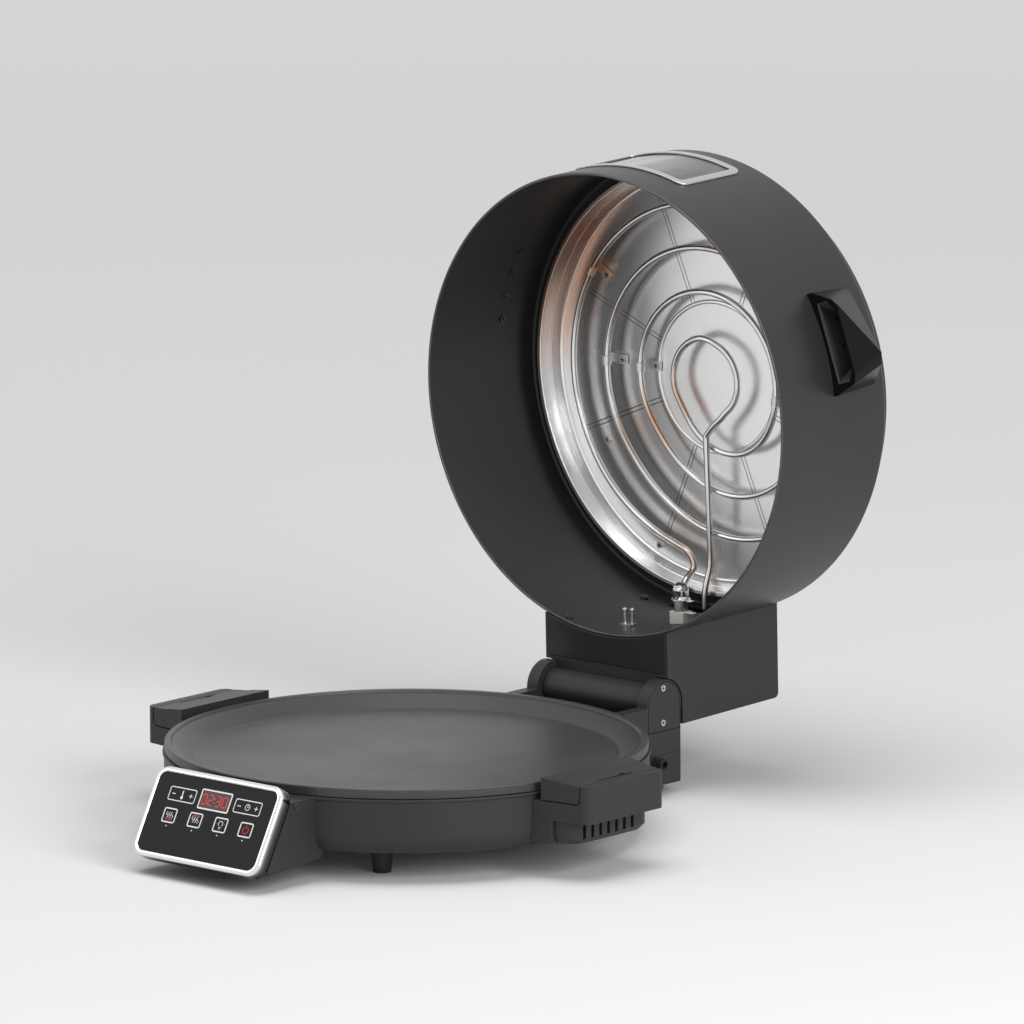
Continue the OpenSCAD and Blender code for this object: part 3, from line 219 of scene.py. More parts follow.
def dark_plastic(name, colour, roughness, grain=0.00004, shine=0.36):
    """A moulded black plastic with a faint cloud in its colour and a fine grain."""
    made = Finish(name, Roughness=roughness, Specular_IOR_Level=shine)
    cloud = made.noise(CLOUD_SCALE, 3)
    lighter = tuple(c * 1.12 for c in colour)
    darker = tuple(c * 0.9 for c in colour)
    made.drive("Base Color", made.node("ValToRGB", {"stops": [(0.3, darker), (0.7, lighter)]},
                                       Fac=cloud))
    made.drive("Roughness", cloud * 0.10 + (roughness - 0.05))
    made.bump(made.noise(GRAIN_SCALE, 2), grain, 0.35)
    return made


charcoal = dark_plastic("charcoal_plastic", (0.0215, 0.0215, 0.0225), 0.46)


def new_piece(name, work, body, finish, place=None, replaces=(), sharp=32,
              weighted=True):
    """Turns a bmesh in millimetres into a piece in the row frame that rides on a body."""
    bmesh.ops.transform(work, matrix=Matrix.Scale(MM, 4) @ (place or Matrix.Identity(4)),
                        verts=work.verts)
    mesh = bpy.data.meshes.new(name)
    for face in work.faces:
        face.smooth = True
    work.to_mesh(mesh)
    work.free()
    mesh.set_sharp_from_angle(angle=radians(sharp))
    mesh.materials.append(finish.material)
    piece = link(bpy.data.objects.new(name, mesh))
    if weighted:
        even = piece.modifiers.new("even_shading", "WEIGHTED_NORMAL")
        even.keep_sharp = True
        even.weight = 100
    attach(piece, body)
    if replaces:
        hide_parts(*replaces)
    return piece


def turned(points, steps=192):
    """A bmesh turned about Z from a list of (radius, height), which is closed to a ring where
    it doesn't end on the axis."""
    work = bmesh.new()
    first = [work.verts.new((r, 0, z)) for r, z in points]
    edges = [work.edges.new(pair) for pair in zip(first, first[1:])]
    if points[0][0] > 0.01 and points[-1][0] > 0.01:
        edges.append(work.edges.new((first[-1], first[0])))
    bmesh.ops.spin(work, geom=first + edges, axis=(0, 0, 1), cent=(0, 0, 0), angle=2 * pi,
                   steps=steps, use_merge=True)
    bmesh.ops.remove_doubles(work, verts=work.verts, dist=0.002)
    bmesh.ops.recalc_face_normals(work, faces=work.faces)
    return work


def corner(centre, radius, start, stop, steps=6):
    """Points of an arc in a turned profile, in degrees."""
    return [(centre[0] + radius * cos(radians(start + (stop - start) * i / steps)),
             centre[1] + radius * sin(radians(start + (stop - start) * i / steps)))
            for i in range(steps + 1)]


def softened(node, width, segments=3, least=28):
    """A merged copy of a CAD node, in millimetres, with its edges rounded."""
    work = bmesh.new()
    work.from_mesh(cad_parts[node].data)
    bmesh.ops.scale(work, vec=(1 / MM,) * 3, verts=work.verts)
    bmesh.ops.remove_doubles(work, verts=work.verts, dist=0.004)
    bmesh.ops.dissolve_limit(work, angle_limit=radians(0.6), verts=work.verts, edges=work.edges)
    edges = [e for e in work.edges if len(e.link_faces) == 2
             and e.calc_face_angle(0) > radians(least)]
    bmesh.ops.bevel(work, geom=edges, offset=width, offset_type="OFFSET", segments=segments,
                    profile=0.5, affect="EDGES", material=-1, clamp_overlap=True)
    return work


def soften(name, node, body, finish, width, segments=3):
    """Puts a CAD node's copy with rounded edges in its place."""
    return new_piece(name, softened(node, width, segments), body, finish, replaces=(node,))


shell_profile = (
    [(150, 20.9), (157.5, 20.9)] + corner((157.5, 33.9), 13, -90, 0, 12)
    + [(170.5, 58.4), (170.9, 58.9)] + corner((171.0, 59.4), 0.5, -90, 0, 2)
    + corner((171.0, 60.4), 0.5, 0, 90, 3)
    + [(168, 60.9), (168, 51.9), (148, 51.9), (148, 49.9), (168, 49.9), (168, 33.9)]
    + corner((157.5, 33.9), 10.5, 0, -90, 8) + [(150, 23.4)]
)
new_piece("shell_wall", turned(shell_profile), "base", charcoal, AT_PAN, ("base_shell",))


# Under the body: a pressed steel plate with vents, held by screws, and moulded feet.
# Each foot stands on a disc of soft rubber that is pressed into it.
plain_steel = Finish("plain_steel", Metallic=1.0, Base_Color=(0.42, 0.42, 0.43), Roughness=0.38)
plain_steel.drive("Roughness", plain_steel.noise(60, 3) * 0.2 + 0.28)
plain_steel.bump(plain_steel.noise(900, 2), 0.00002, 0.3)
rubber = dark_plastic("pad_rubber", (0.02, 0.02, 0.02), 0.8, 0.00008)


def dress(finish, *nodes):
    """Gives CAD nodes that keep their own shape a finish."""
    for name in nodes:
        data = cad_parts[name].data
        data.materials.clear()
        data.materials.append(finish.material)


dress(plain_steel, "bottom_plate", "lower_reflector", "probe_holder")
soften("foot_posts", "feet", "base", charcoal, 0.8)
soften("pad_discs", "foot_pads", "base", rubber, 0.5)


# Lower heat, under the pan: mineral wool, a steel heating tube on folded cradles, and a probe
# that a spring presses up. A nylon cutout and a terminal block sit beside it.
bright_steel = Finish("bright_steel", Metallic=1.0, Base_Color=(0.62, 0.62, 0.63), Roughness=0.24)
bright_steel.drive("Roughness", bright_steel.noise(140, 2) * 0.16 + 0.16)
heated_steel = Finish("heated_steel", Metallic=1.0, Base_Color=(0.40, 0.38, 0.36), Roughness=0.36)
heated_steel.drive("Roughness", heated_steel.noise(90, 3) * 0.2 + 0.26)
fibre = Finish("mineral_fibre", Base_Color=(0.74, 0.72, 0.66), Roughness=0.95)
fibre.bump(fibre.noise(500, 5), 0.0006, 0.8)
ceramic = Finish("unglazed_ceramic", Base_Color=(0.80, 0.79, 0.74), Roughness=0.55)
ceramic.bump(ceramic.noise(1200, 3), 0.00004, 0.5)
nylon = Finish("natural_nylon", Base_Color=(0.72, 0.71, 0.66), Roughness=0.45)
nylon.bump(nylon.noise(900, 2), 0.00003, 0.4)
dress(fibre, "lower_insulation", "upper_insulation")
dress(heated_steel, "lower_element")
dress(bright_steel, "lower_element_clips", "pan_probe")
dress(nylon, "thermal_cutout", "terminal_block", "hinge_bushes")


# Control box: a moulded housing ahead of the body, closed by a sloping panel in a chrome frame.
# The frame is one chrome piece with a rolled front edge and a groove round the panel; its sides
# and back are painted darker than its front, as painted shade.
PANEL_W, PANEL_L = 110.3, 57.7
ON_PANEL = Matrix.Translation((0, -250.8, 68.2)) @ Matrix.Rotation(radians(61.6), 4, "X")
PANEL_MIDDLE = Matrix.Translation((0, -PANEL_L / 2, 0))
soften("control_housing", "control_box", "base", charcoal, 1.2)
dark_steel = Finish("dark_steel", Metallic=1.0, Base_Color=(0.13, 0.13, 0.13), Roughness=0.4)
dark_steel.drive("Roughness", dark_steel.noise(400, 2) * 0.2 + 0.3)
# A near-black finish for the screws' cross recesses: painted shade.
recess_painted_shade = dark_plastic("screw_recess_painted_shade", (0.006, 0.006, 0.006), 0.8)


def cross_headed(name, node, body, finish, head, outwards):
    """Screws with softly rounded heads of a given height, and the cross recess painted near-black
    as painted shade.
    outwards gives the way that a head faces from its place."""
    work = softened(node, 0.18, 2, 50)
    left = set(work.faces)
    while left:
        island, queue = set(), [left.pop()]
        while queue:
            face = queue.pop()
            island.add(face)
            for edge in face.edges:
                for other in edge.link_faces:
                    if other in left:
                        left.remove(other)
                        queue.append(other)
        verts = {v for face in island for v in face.verts}
        middle = sum((v.co for v in verts), Vector()) / len(verts)
        axis = outwards(middle).normalized()
        top = max(v.co.dot(axis) for v in verts)
        wide = max(((v.co - middle) - axis * (v.co - middle).dot(axis)).length for v in verts)
        for face in island:
            spot = face.calc_center_median()
            off = spot - middle
            aside = (off - axis * off.dot(axis)).length
            # Faces down inside the cross recess take the near-black finish, which is painted
            # shade.
            if aside < 0.7 * wide and 0.06 < top - spot.dot(axis) < 0.56 * head:
                face.material_index = 1
    piece = new_piece(name, work, body, finish, replaces=(node,))
    piece.data.materials.append(recess_painted_shade.material)


cross_headed("plate_screws", "base_screws", "base", dark_steel, 1.8, lambda at: Vector((0, 0, -1)))
cross_headed("box_screws", "side_screws", "base", dark_steel, 1.0, lambda at: Vector((at.x, 0, 0)))


def add_loop(work, width, height, radius, level, steps=8):
    """Adds the edges of a centred rectangle with round corners, at one level."""
    verts = []
    for turn, (sx, sy) in enumerate(((1, 1), (-1, 1), (-1, -1), (1, -1))):
        for i in range(steps + 1):
            angle = radians(90 * (turn + i / steps))
            verts.append(work.verts.new((sx * (width / 2 - radius) + radius * cos(angle),
                                         sy * (height / 2 - radius) + radius * sin(angle), level)))
    return [work.edges.new(pair) for pair in zip(verts, verts[1:] + verts[:1])]


chrome = Finish("chrome_plate", Metallic=1.0, Base_Color=(0.80, 0.80, 0.81), Roughness=0.1)
chrome.drive("Roughness", chrome.noise(180, 3) * 0.10 + 0.07)
FRAME_DEPTH, FRAME_SPREAD, FRAME_CORNER, LIP_R = 9, 8.2, 10, 2.4
frame_chrome_painted_shade = Finish("frame_chrome_painted_shade", Metallic=1.0, Roughness=0.1)
over_panel = frame_chrome_painted_shade.node("SeparateXYZ", output=2, Vector=frame_chrome_painted_shade.node(
    "Mapping", {"vector_type": "TEXTURE"}, Vector=frame_chrome_painted_shade.place(),
    Location=ON_PANEL.to_translation() * MM, Rotation=ON_PANEL.to_euler(), Scale=(MM, MM, MM)))
# The chrome's colour darkens down the frame's sides and back towards the housing: painted shade
# standing in for darker reflections there.
frame_chrome_painted_shade.drive("Base Color", frame_chrome_painted_shade.node(
    "ValToRGB", {"stops": [(0.30, (0.055, 0.055, 0.057)), (0.62, (0.20, 0.20, 0.205)),
                           (0.86, (0.84, 0.84, 0.85))]},
    Fac=(over_panel + FRAME_DEPTH) / (FRAME_DEPTH + 1)))
frame_chrome_painted_shade.drive("Roughness", frame_chrome_painted_shade.noise(180, 3) * 0.10 + 0.07)
bezel = bmesh.new()
bezel_steps = (
    [(0, -FRAME_DEPTH), (0, -1.4)]
    + [(LIP_R * (1 - cos(radians(a))), -1.4 + LIP_R * sin(radians(a)))
       for a in (18, 36, 54, 72, 90)]
    + [(3.2, 1.0), (3.55, 0.9), (3.75, 0.6), (3.95, 0.4), (4.0, -1.7), (7.1, -1.7),
       (7.1, -FRAME_DEPTH)]
)
loops = [add_loop(bezel, PANEL_W + FRAME_SPREAD - 2 * inset, PANEL_L + FRAME_SPREAD - 2 * inset,
                  max(FRAME_CORNER - inset, 3.2), level) for inset, level in bezel_steps]
for one, other in zip(loops, loops[1:] + loops[:1]):
    bmesh.ops.bridge_loops(bezel, edges=one + other)
bmesh.ops.recalc_face_normals(bezel, faces=bezel.faces)
new_piece("panel_frame", bezel, "base", frame_chrome_painted_shade, ON_PANEL @ PANEL_MIDDLE, ("panel_bezel",))


# Panel: a smooth dark polyester sheet with printed outlines for two rockers, a display and four
# keys. Its marks are generic signs: minus, plus, a thermometer, a clock, heat, a bulb and power.
print_sheet = Finish("panel_sheet", Roughness=0.2, Specular_IOR_Level=0.13)
smudge = print_sheet.noise(26, 4)
print_sheet.drive("Base Color", print_sheet.node(
    "ValToRGB", {"stops": [(0.3, (0.010, 0.010, 0.011)), (0.75, (0.014, 0.014, 0.015))]},
    Fac=smudge))
print_sheet.drive("Roughness", smudge * 0.16 + 0.16)
print_sheet.bump(print_sheet.noise(3000, 2), 0.00001, 0.3)
soften("panel_plate", "control_panel", "base", print_sheet, 0.3)
white_print = Finish("white_print", Roughness=0.45)
white_print.drive("Base Color", white_print.node(
    "ValToRGB", {"stops": [(0.3, (0.80, 0.81, 0.82)), (0.7, (0.88, 0.89, 0.90))]},
    Fac=white_print.noise(900, 2)))
red_print = Finish("red_print", Roughness=0.45)
red_print.drive("Base Color", red_print.node(
    "ValToRGB", {"stops": [(0.3, (0.50, 0.03, 0.025)), (0.7, (0.62, 0.05, 0.04))]},
    Fac=red_print.noise(900, 2)))
PRINT = 0.07


def print_frame(work, x, down, width, height, line, radius=1.6):
    """A printed outline, centred at x and at a distance down the panel."""
    before = len(work.verts)
    pair = [add_loop(work, width - 2 * t, height - 2 * t, max(radius - t, 0.3), PRINT, 4)
            for t in (0, line)]
    bmesh.ops.bridge_loops(work, edges=pair[0] + pair[1])
    work.verts.ensure_lookup_table()
    bmesh.ops.translate(work, vec=(x, -down, 0), verts=work.verts[before:])


def print_bar(work, x, down, width, height, turn=0.0):
    place = (Matrix.Translation((x, -down, PRINT)) @ Matrix.Rotation(radians(turn), 4, "Z")
             @ Matrix.Diagonal((width, height, 1, 1)))
    bmesh.ops.create_grid(work, x_segments=1, y_segments=1, size=0.5, matrix=place)


def print_arc(work, x, down, radius, line, start=0, stop=360):
    place = Matrix.Translation((x, -down, PRINT)) @ Matrix.Rotation(radians(start), 4, "Z")
    ends = [work.verts.new(place @ Vector((radius + t, 0, 0))) for t in (-line / 2, line / 2)]
    bmesh.ops.spin(work, geom=ends + [work.edges.new(ends)], axis=(0, 0, 1),
                   cent=(x, -down, PRINT), angle=radians(stop - start), steps=20,
                   use_merge=stop - start == 360)


def print_dot(work, x, down, radius):
    bmesh.ops.create_circle(work, cap_ends=True, radius=radius, segments=16,
                            matrix=Matrix.Translation((x, -down, PRINT)))


def finish_print(name, work, finish):
    bmesh.ops.recalc_face_normals(work, faces=work.faces)
    for face in work.faces:
        if face.normal.z < 0:
            face.normal_flip()
    new_piece(name, work, "base", finish, ON_PANEL, weighted=False)


ROCKERS, ROCKER_DOWN = (-30.0, 31.5), 14.4
KEYS, KEY_DOWN, DOT_DOWN = (-35.4, -11.3, 12.6, 36.4), 30.2, 37.9
LOW_HEAT, HIGH_HEAT, BULB, POWER = KEYS
DISPLAY_X, DISPLAY_DOWN = 0.8, 14.3
marks, red_marks = bmesh.new(), bmesh.new()
for x in ROCKERS:
    print_frame(marks, x, ROCKER_DOWN, 25, 10.2, 0.7)
    print_bar(marks, x - 8, ROCKER_DOWN, 3.2, 0.6)
    print_bar(marks, x + 8, ROCKER_DOWN, 3.2, 0.6)
    print_bar(marks, x + 8, ROCKER_DOWN, 0.6, 3.2)
print_bar(marks, ROCKERS[0], 13.5, 1.0, 4.2)
print_dot(marks, ROCKERS[0], 16.4, 1.2)
print_arc(marks, ROCKERS[1], ROCKER_DOWN, 2.1, 0.5)
print_bar(marks, ROCKERS[1], 13.7, 0.45, 1.6)
print_bar(marks, ROCKERS[1] + 0.6, ROCKER_DOWN, 1.4, 0.45)
print_frame(marks, DISPLAY_X, DISPLAY_DOWN, 28.9, 14.7, 1.1, 1.2)
for x in KEYS:
    print_frame(marks, x, KEY_DOWN, 12.2, 10.8, 0.95)
for x in (LOW_HEAT, HIGH_HEAT):
    for aside in (-2.2, 0, 2.2):
        print_arc(marks, x + aside, 29.0, 1.0, 0.45, 90, 270)
        print_arc(marks, x + aside, 31.0, 1.0, 0.45, -90, 90)
print_bar(red_marks, LOW_HEAT, 33.2, 6.6, 0.7)
print_bar(red_marks, HIGH_HEAT, 27.0, 6.6, 0.7)
BULB_DOWN, RAY_REACH = 29.4, 3.5
print_arc(marks, BULB, BULB_DOWN, 1.9, 0.5, -50, 230)
print_bar(marks, BULB, 31.9, 2.0, 0.5)
print_bar(marks, BULB, 32.9, 1.6, 0.5)
for turn in (0, 45, 90, 135, 180):
    print_bar(red_marks, BULB + RAY_REACH * cos(radians(turn)),
              BULB_DOWN - RAY_REACH * sin(radians(turn)), 1.0, 0.4, turn)
print_arc(red_marks, POWER, 30.4, 2.5, 0.65, 125, 415)
print_bar(red_marks, POWER, 28.2, 0.65, 2.8)
for x in KEYS:
    print_dot(marks, x, DOT_DOWN, 0.5)
finish_print("panel_marks", marks, white_print)
finish_print("panel_red_marks", red_marks, red_print)


# Display: a smoked red window with four lit digits and a colon, set behind the panel.
# It is soldered to the green lacquered board that carries the controls.
smoked = Finish("smoked_display", Base_Color=(0.045, 0.006, 0.006), Roughness=0.14)
smoked.drive("Base Color", smoked.node(
    "ValToRGB", {"stops": [(0.3, (0.030, 0.004, 0.004)), (0.7, (0.055, 0.008, 0.008))]},
    Fac=smoked.noise(300, 2)))
lit = Finish("lit_digit", Base_Color=(0.5, 0.02, 0.015), Roughness=0.4, Emission_Strength=0.4)
lit.drive("Emission Color", lit.node(
    "ValToRGB", {"stops": [(0.3, (0.72, 0.05, 0.04)), (0.7, (0.95, 0.10, 0.08))]},
    Fac=lit.noise(700, 2)))
circuit = Finish("circuit_lacquer", Roughness=0.35)
circuit.drive("Base Color", circuit.node(
    "ValToRGB", {"stops": [(0.45, (0.01, 0.10, 0.04)), (0.55, (0.02, 0.16, 0.07))]},
    Fac=circuit.noise(400, 3)))
dress(circuit, "control_board")
soften("display_window", "display_module", "base", smoked, 0.3)
SEGMENTS = {"0": "abcdef", "2": "abged", "3": "abgcd"}
SEGMENT_PLACE = {"a": (0, 3.6, 0), "g": (0, 0, 0), "d": (0, -3.6, 0), "f": (-2, 1.8, 90),
                 "b": (2, 1.8, 90), "e": (-2, -1.8, 90), "c": (2, -1.8, 90)}
digits = bmesh.new()
for x, digit in zip((-9.6, -3.6, 3.6, 9.6), "0230"):
    for segment in SEGMENTS[digit]:
        dx, dy, turn = SEGMENT_PLACE[segment]
        print_bar(digits, x + dx, DISPLAY_DOWN - dy, 3.1, 0.75, turn)
for down in (12.7, 15.9):
    print_dot(digits, 0, down, 0.5)
bmesh.ops.translate(digits, vec=(0, 0, -0.40), verts=digits.verts)
for face in digits.faces:
    if face.normal.z < 0:
        face.normal_flip()
new_piece("display_digits", digits, "base", lit, ON_PANEL, weighted=False)


# Wings: a moulded block on each side with a tray for the pan's handle, over a vented cover.
# Their edges are the mould's own small rounds.
for side in ("left", "right"):
    soften(f"wing_block_{side}", f"wing_{side}", "base", charcoal, 0.9)
    soften(f"vent_cover_{side}", f"wing_vent_{side}", "base", charcoal, 0.5, 2)


# Hinge tower: a hollow block with two ears on a tub, closed by screwed plates over the ears.
# A rubber bushing guards the hole where the cord enters the tub.
soften("tower_block", "hinge_tower", "base", charcoal, 0.5)
soften("tower_base", "tower_tub", "base", charcoal, 0.9)
for side in ("left", "right"):
    soften(f"ear_plate_{side}", f"ear_cover_{side}", "base", charcoal, 0.35, 2)
cross_headed("ear_plate_screws", "ear_screws", "base", bright_steel, 0.7,
             lambda at: Vector((at.x, 0, 0)))
black_rubber = dark_plastic("black_rubber", (0.010, 0.010, 0.010), 0.6, 0.00006)
soften("bushing_sleeve", "cord_bushing", "base", black_rubber, 0.3, 2)


# Pan: cast aluminium under a grey non-stick coat with a fine speckle, with a flat land at the
# rim, a small step and a sloping border. Its skirt hangs over the body's lip.
coat = Finish("nonstick_coat", Roughness=0.4, Specular_IOR_Level=0.5)
speckle = coat.noise(1400, 2)
coat.drive("Base Color", coat.node(
    "ValToRGB", {"stops": [(0.35, (0.030, 0.030, 0.031)), (0.62, (0.042, 0.042, 0.043)),
                           (0.72, (0.075, 0.075, 0.075))]}, Fac=speckle))
coat.drive("Roughness", coat.noise(14, 4) * 0.22 + 0.30)
coat.bump(coat.noise(2200, 3), 0.00004, 0.5)
pan = turned(
    [(0, 54.5), (147.6, 54.5), (148.4, 54.8), (161, 63), (168, 63), (168, 61.8), (168.3, 61.3),
     (168.8, 61.2), (169.3, 61.2), (169.8, 61.4), (170, 61.8)]
    + corner((169.0, 67.0), 1.0, 0, 90, 5)
    + [(166.3, 68), (165.8, 67.9), (165.4, 67.5), (165.1, 66.7), (164.8, 66.35), (164.3, 66.2),
       (163.0, 66.2), (162.2, 66.0), (161.4, 65.6), (149.6, 58.2), (148.4, 57.65), (146.8, 57.5),
       (0, 57.5)], 256)
LUG_PLACE, LUG_SIZE = (177, -4.5, 63.0), (26, 28, 3.4)
for side in (-1, 1):
    bmesh.ops.create_cube(pan, size=1, matrix=Matrix.Translation(
        (side * LUG_PLACE[0], *LUG_PLACE[1:])) @ Matrix.Diagonal((*LUG_SIZE, 1)))
new_piece("pan_dish", pan, "base", coat, AT_PAN, ("baking_pan",))


# Pan handles: solid moulded grips, screwed up under the pan's lugs. They drop into the wings'
# trays, which carry the pan and keep it from turning.
for side in ("left", "right"):
    soften(f"pan_grip_{side}", f"pan_handle_{side}", "base", charcoal, 0.7)
cross_headed("grip_screws", "pan_handle_screws", "base", bright_steel, 1.6,
             lambda at: Vector((0, 0, -1)))


# Drum: a deep sheet-steel wall in satin black enamel, with a rolled rim, a shoulder, an opening
# for the window and a slot for the heating tube's leads. Its cap closes the top.
satin_black = Finish("satin_black", Roughness=0.36, Specular_IOR_Level=0.4)
flow = satin_black.noise(7, 3)
satin_black.drive("Base Color", satin_black.node(
    "ValToRGB", {"stops": [(0.3, (0.019, 0.019, 0.020)), (0.7, (0.025, 0.025, 0.026))]}, Fac=flow))
satin_black.drive("Roughness", flow * 0.10 + 0.33)
satin_black.bump(satin_black.noise(1700, 2), 0.00001, 0.15)
# The rim's band is glossier than the wall and painted lighter: a painted highlight along the
# rolled edge.
rolled_rim_painted_highlight = Finish("rolled_rim_painted_highlight", Specular_IOR_Level=0.6)
rim_mottle = rolled_rim_painted_highlight.noise(60, 3)
rolled_rim_painted_highlight.drive("Base Color", rolled_rim_painted_highlight.node(
    "ValToRGB", {"stops": [(0.3, (0.040, 0.040, 0.041)), (0.7, (0.075, 0.075, 0.076))]},
    Fac=rim_mottle))
rolled_rim_painted_highlight.drive("Roughness", rim_mottle * 0.10 + 0.14)
DRUM_R, DRUM_IN, WALL_FROM = 168, 166.7, 166
WINDOW_LOW, WINDOW_HIGH, SLOT_LOW, SLOT_HIGH = 34, 92, 92.8, 104.8
WINDOW_HALF, SLOT_FROM, SLOT_TO = 16.5, 85.5, 97.5
rows = [SLOT_HIGH, SLOT_LOW, WINDOW_HIGH, WINDOW_LOW]
drum = turned(
    [(DRUM_R, z) for z in rows]
    + corner((167.1, 0.9), 0.9, 0, -90, 4) + corner((166.6, 0.6), 0.6, -90, -180, 3)
    + [(166.0, 2.3), (166.3, 2.8), (DRUM_IN, 3.4)]
    + [(DRUM_IN, z) for z in reversed(rows)]
    + corner((164, 110.7), 2.7, 0, 90, 5) + [(156.1, 113.4), (156.1, 107.5), (154.9, 107.5),
                                            (154.9, 114.7)]
    + corner((164, 110.7), 4, 90, 0, 7), 240)
openings = ((-90, WINDOW_HALF, WINDOW_LOW, WINDOW_HIGH),
            ((SLOT_FROM + SLOT_TO) / 2, (SLOT_TO - SLOT_FROM) / 2, SLOT_LOW, SLOT_HIGH))
for middle, half, low, high in openings:
    cut = []
    for face in drum.faces:
        at = face.calc_center_median()
        off = (degrees(atan2(at.y, at.x)) - middle + 180) % 360 - 180
        if abs(off) < half and low < at.z < high and hypot(at.x, at.y) > WALL_FROM:
            cut.append(face)
    bmesh.ops.delete(drum, geom=cut, context="FACES")
    rims = [e for e in drum.edges if e.is_boundary]
    bmesh.ops.bridge_loops(drum, edges=rims)
bmesh.ops.recalc_face_normals(drum, faces=drum.faces)
RIM_BAND = 0.7
# Faces of the band at the rim take the lighter finish, which is the painted highlight.
for face in drum.faces:
    if face.calc_center_median().z < RIM_BAND:
        face.material_index = 1
wall = new_piece("drum_wall", drum, "lid", satin_black, ON_DRUM, ("drum_shell",))
wall.data.materials.append(rolled_rim_painted_highlight.material)
cap = turned(
    [(0, 130), (151, 130)] + corner((151.4, 126.6), 3, 90, 0, 5) + [(154.9, 113.7), (154.9, 114.7)]
    + [(163.2, 114.7), (163.5, 115.0), (163.2, 115.6), (157.4, 115.6), (156.4, 116.0)]
    + corner((151.9, 127), 4, 0, 90, 7)
    + [(120, 131), (117, 130.2), (114, 130.2), (111, 131), (0, 131)], 240)
new_piece("drum_cap", cap, "lid", satin_black, ON_DRUM, ("top_cap",))
LID_UP = (ON_DRUM.to_3x3() @ Vector((0, 0, 1))).normalized()
cross_headed("drum_cap_screws", "cap_screws", "lid", dark_steel, 1.3, lambda at: LID_UP)


# Reflector: a dish pressed from thin polished aluminium, with a seam round its side, a bead
# round its middle and shallow double ribs, whose edges are painted dark as painted shade. Handling
# and heat leave it gently uneven.
def drum_space(made):
    """Object coordinates turned into the drum's own frame, in millimetres."""
    inner = made.node("Mapping", {"vector_type": "TEXTURE"}, Vector=made.place(),
                      Location=ON_DRUM.to_translation() * MM,
                      Rotation=(-radians(OPEN_ANGLE), 0, 0), Scale=(MM, MM, MM))
    split = made.tree.nodes.new("ShaderNodeSeparateXYZ")
    made.tree.links.new(inner.socket, split.inputs[0])
    return [Value(made.tree, out) for out in split.outputs]


HOT_SIDE, HEAT_REACH = (-0.86, -0.51), 150


def towards_hot_side(x, y):
    """How far a place lies towards the side of the lid that ran hottest."""
    return (x * HOT_SIDE[0] + y * HOT_SIDE[1]) / HEAT_REACH


REFLECTOR_LOW, REFLECTOR_FLOOR, BEAD_R, RIB_IN, RIB_OUT = 106.8, 125.5, 55.4, 57.4, 137
RIB_COUNT, RIB_FIRST, RIB_HALF, RIB_LINE = 8, 22.5, 1.5, 0.42
polished = Finish("polished_dish", Metallic=1.0, Base_Color=(0.74, 0.74, 0.745), Roughness=0.24)
px, py, _ = drum_space(polished)
ribs = None
for i in range(RIB_COUNT):
    turn = radians(RIB_FIRST + 360 / RIB_COUNT * i)
    along = px * cos(turn) + py * sin(turn)
    aside = abs(py * cos(turn) - px * sin(turn))
    line = (abs(aside - RIB_HALF) < RIB_LINE) * (along > RIB_IN) * (along < RIB_OUT)
    ribs = line if ribs is None else ribs + line
straw = (towards_hot_side(px, py) - 0.80) * 5.0 * (polished.noise(6, 2) + 0.35)
tint = polished.node("MixRGB", {}, Fac=straw.held(0, 1), Color1=(0.92, 0.92, 0.925, 1),
                     Color2=(0.84, 0.56, 0.42, 1))
# The rib lines are mixed towards dark grey: painted shade along the ribs' edges.
polished.drive("Base Color", polished.node("MixRGB", {}, Fac=ribs * 0.75, Color1=tint,
                                           Color2=(0.10, 0.10, 0.10, 1)))
polished.drive("Roughness", polished.noise(16, 3) * 0.10 + 0.21)
polished.bump(polished.noise(14, 1) * 0.9 - ribs * 0.35, 0.0005, 0.40)
dish = turned(
    [(r, REFLECTOR_FLOOR) for r in (0, 12, 30, BEAD_R - 2.2)]
    + [(BEAD_R - 1.6 * cos(radians(a)), REFLECTOR_FLOOR - 1.1 * sin(radians(a)))
       for a in range(0, 181, 30)]
    + [(r, REFLECTOR_FLOOR) for r in (BEAD_R + 2.2, 90, 120, 140, 147.4)]
    + corner((147.4, REFLECTOR_FLOOR - 3), 3, 90, 20, 4)
    + [(151.9, 117.4), (152.5, 117.1), (152.5, 116.7), (151.95, 116.4), (153.6, 108.2)]
    + corner((154.6, 107.8), 1.0, 190, 270, 3)
    + [(156.7, REFLECTOR_LOW), (157, REFLECTOR_LOW + 0.3), (156.7, REFLECTOR_LOW + 0.6),
       (155.0, 107.5)]
    + [(153.1, 117), (150.6, 125.0), (148.5, 126.0), (0, 126.1)], 256)
FLOOR_FROM, DENTED_R = 120, 146
dents = [(Vector((70, 60)), 38, 0.5), (Vector((-40, 90)), 45, 0.45), (Vector((95, -40)), 40, 0.5),
         (Vector((20, 0)), 30, 0.35), (Vector((-90, -20)), 50, 0.4), (Vector((30, -110)), 40, 0.4)]
for vert in dish.verts:
    if vert.co.z > FLOOR_FROM and hypot(vert.co.x, vert.co.y) < DENTED_R:
        for middle, size, depth in dents:
            away = (vert.co.xy - middle).length / size
            if away < 1:
                vert.co.z += depth * 0.5 * (1 + cos(pi * away))
new_piece("reflector_dish", dish, "lid", polished, ON_DRUM, ("reflector",),
          sharp=40)


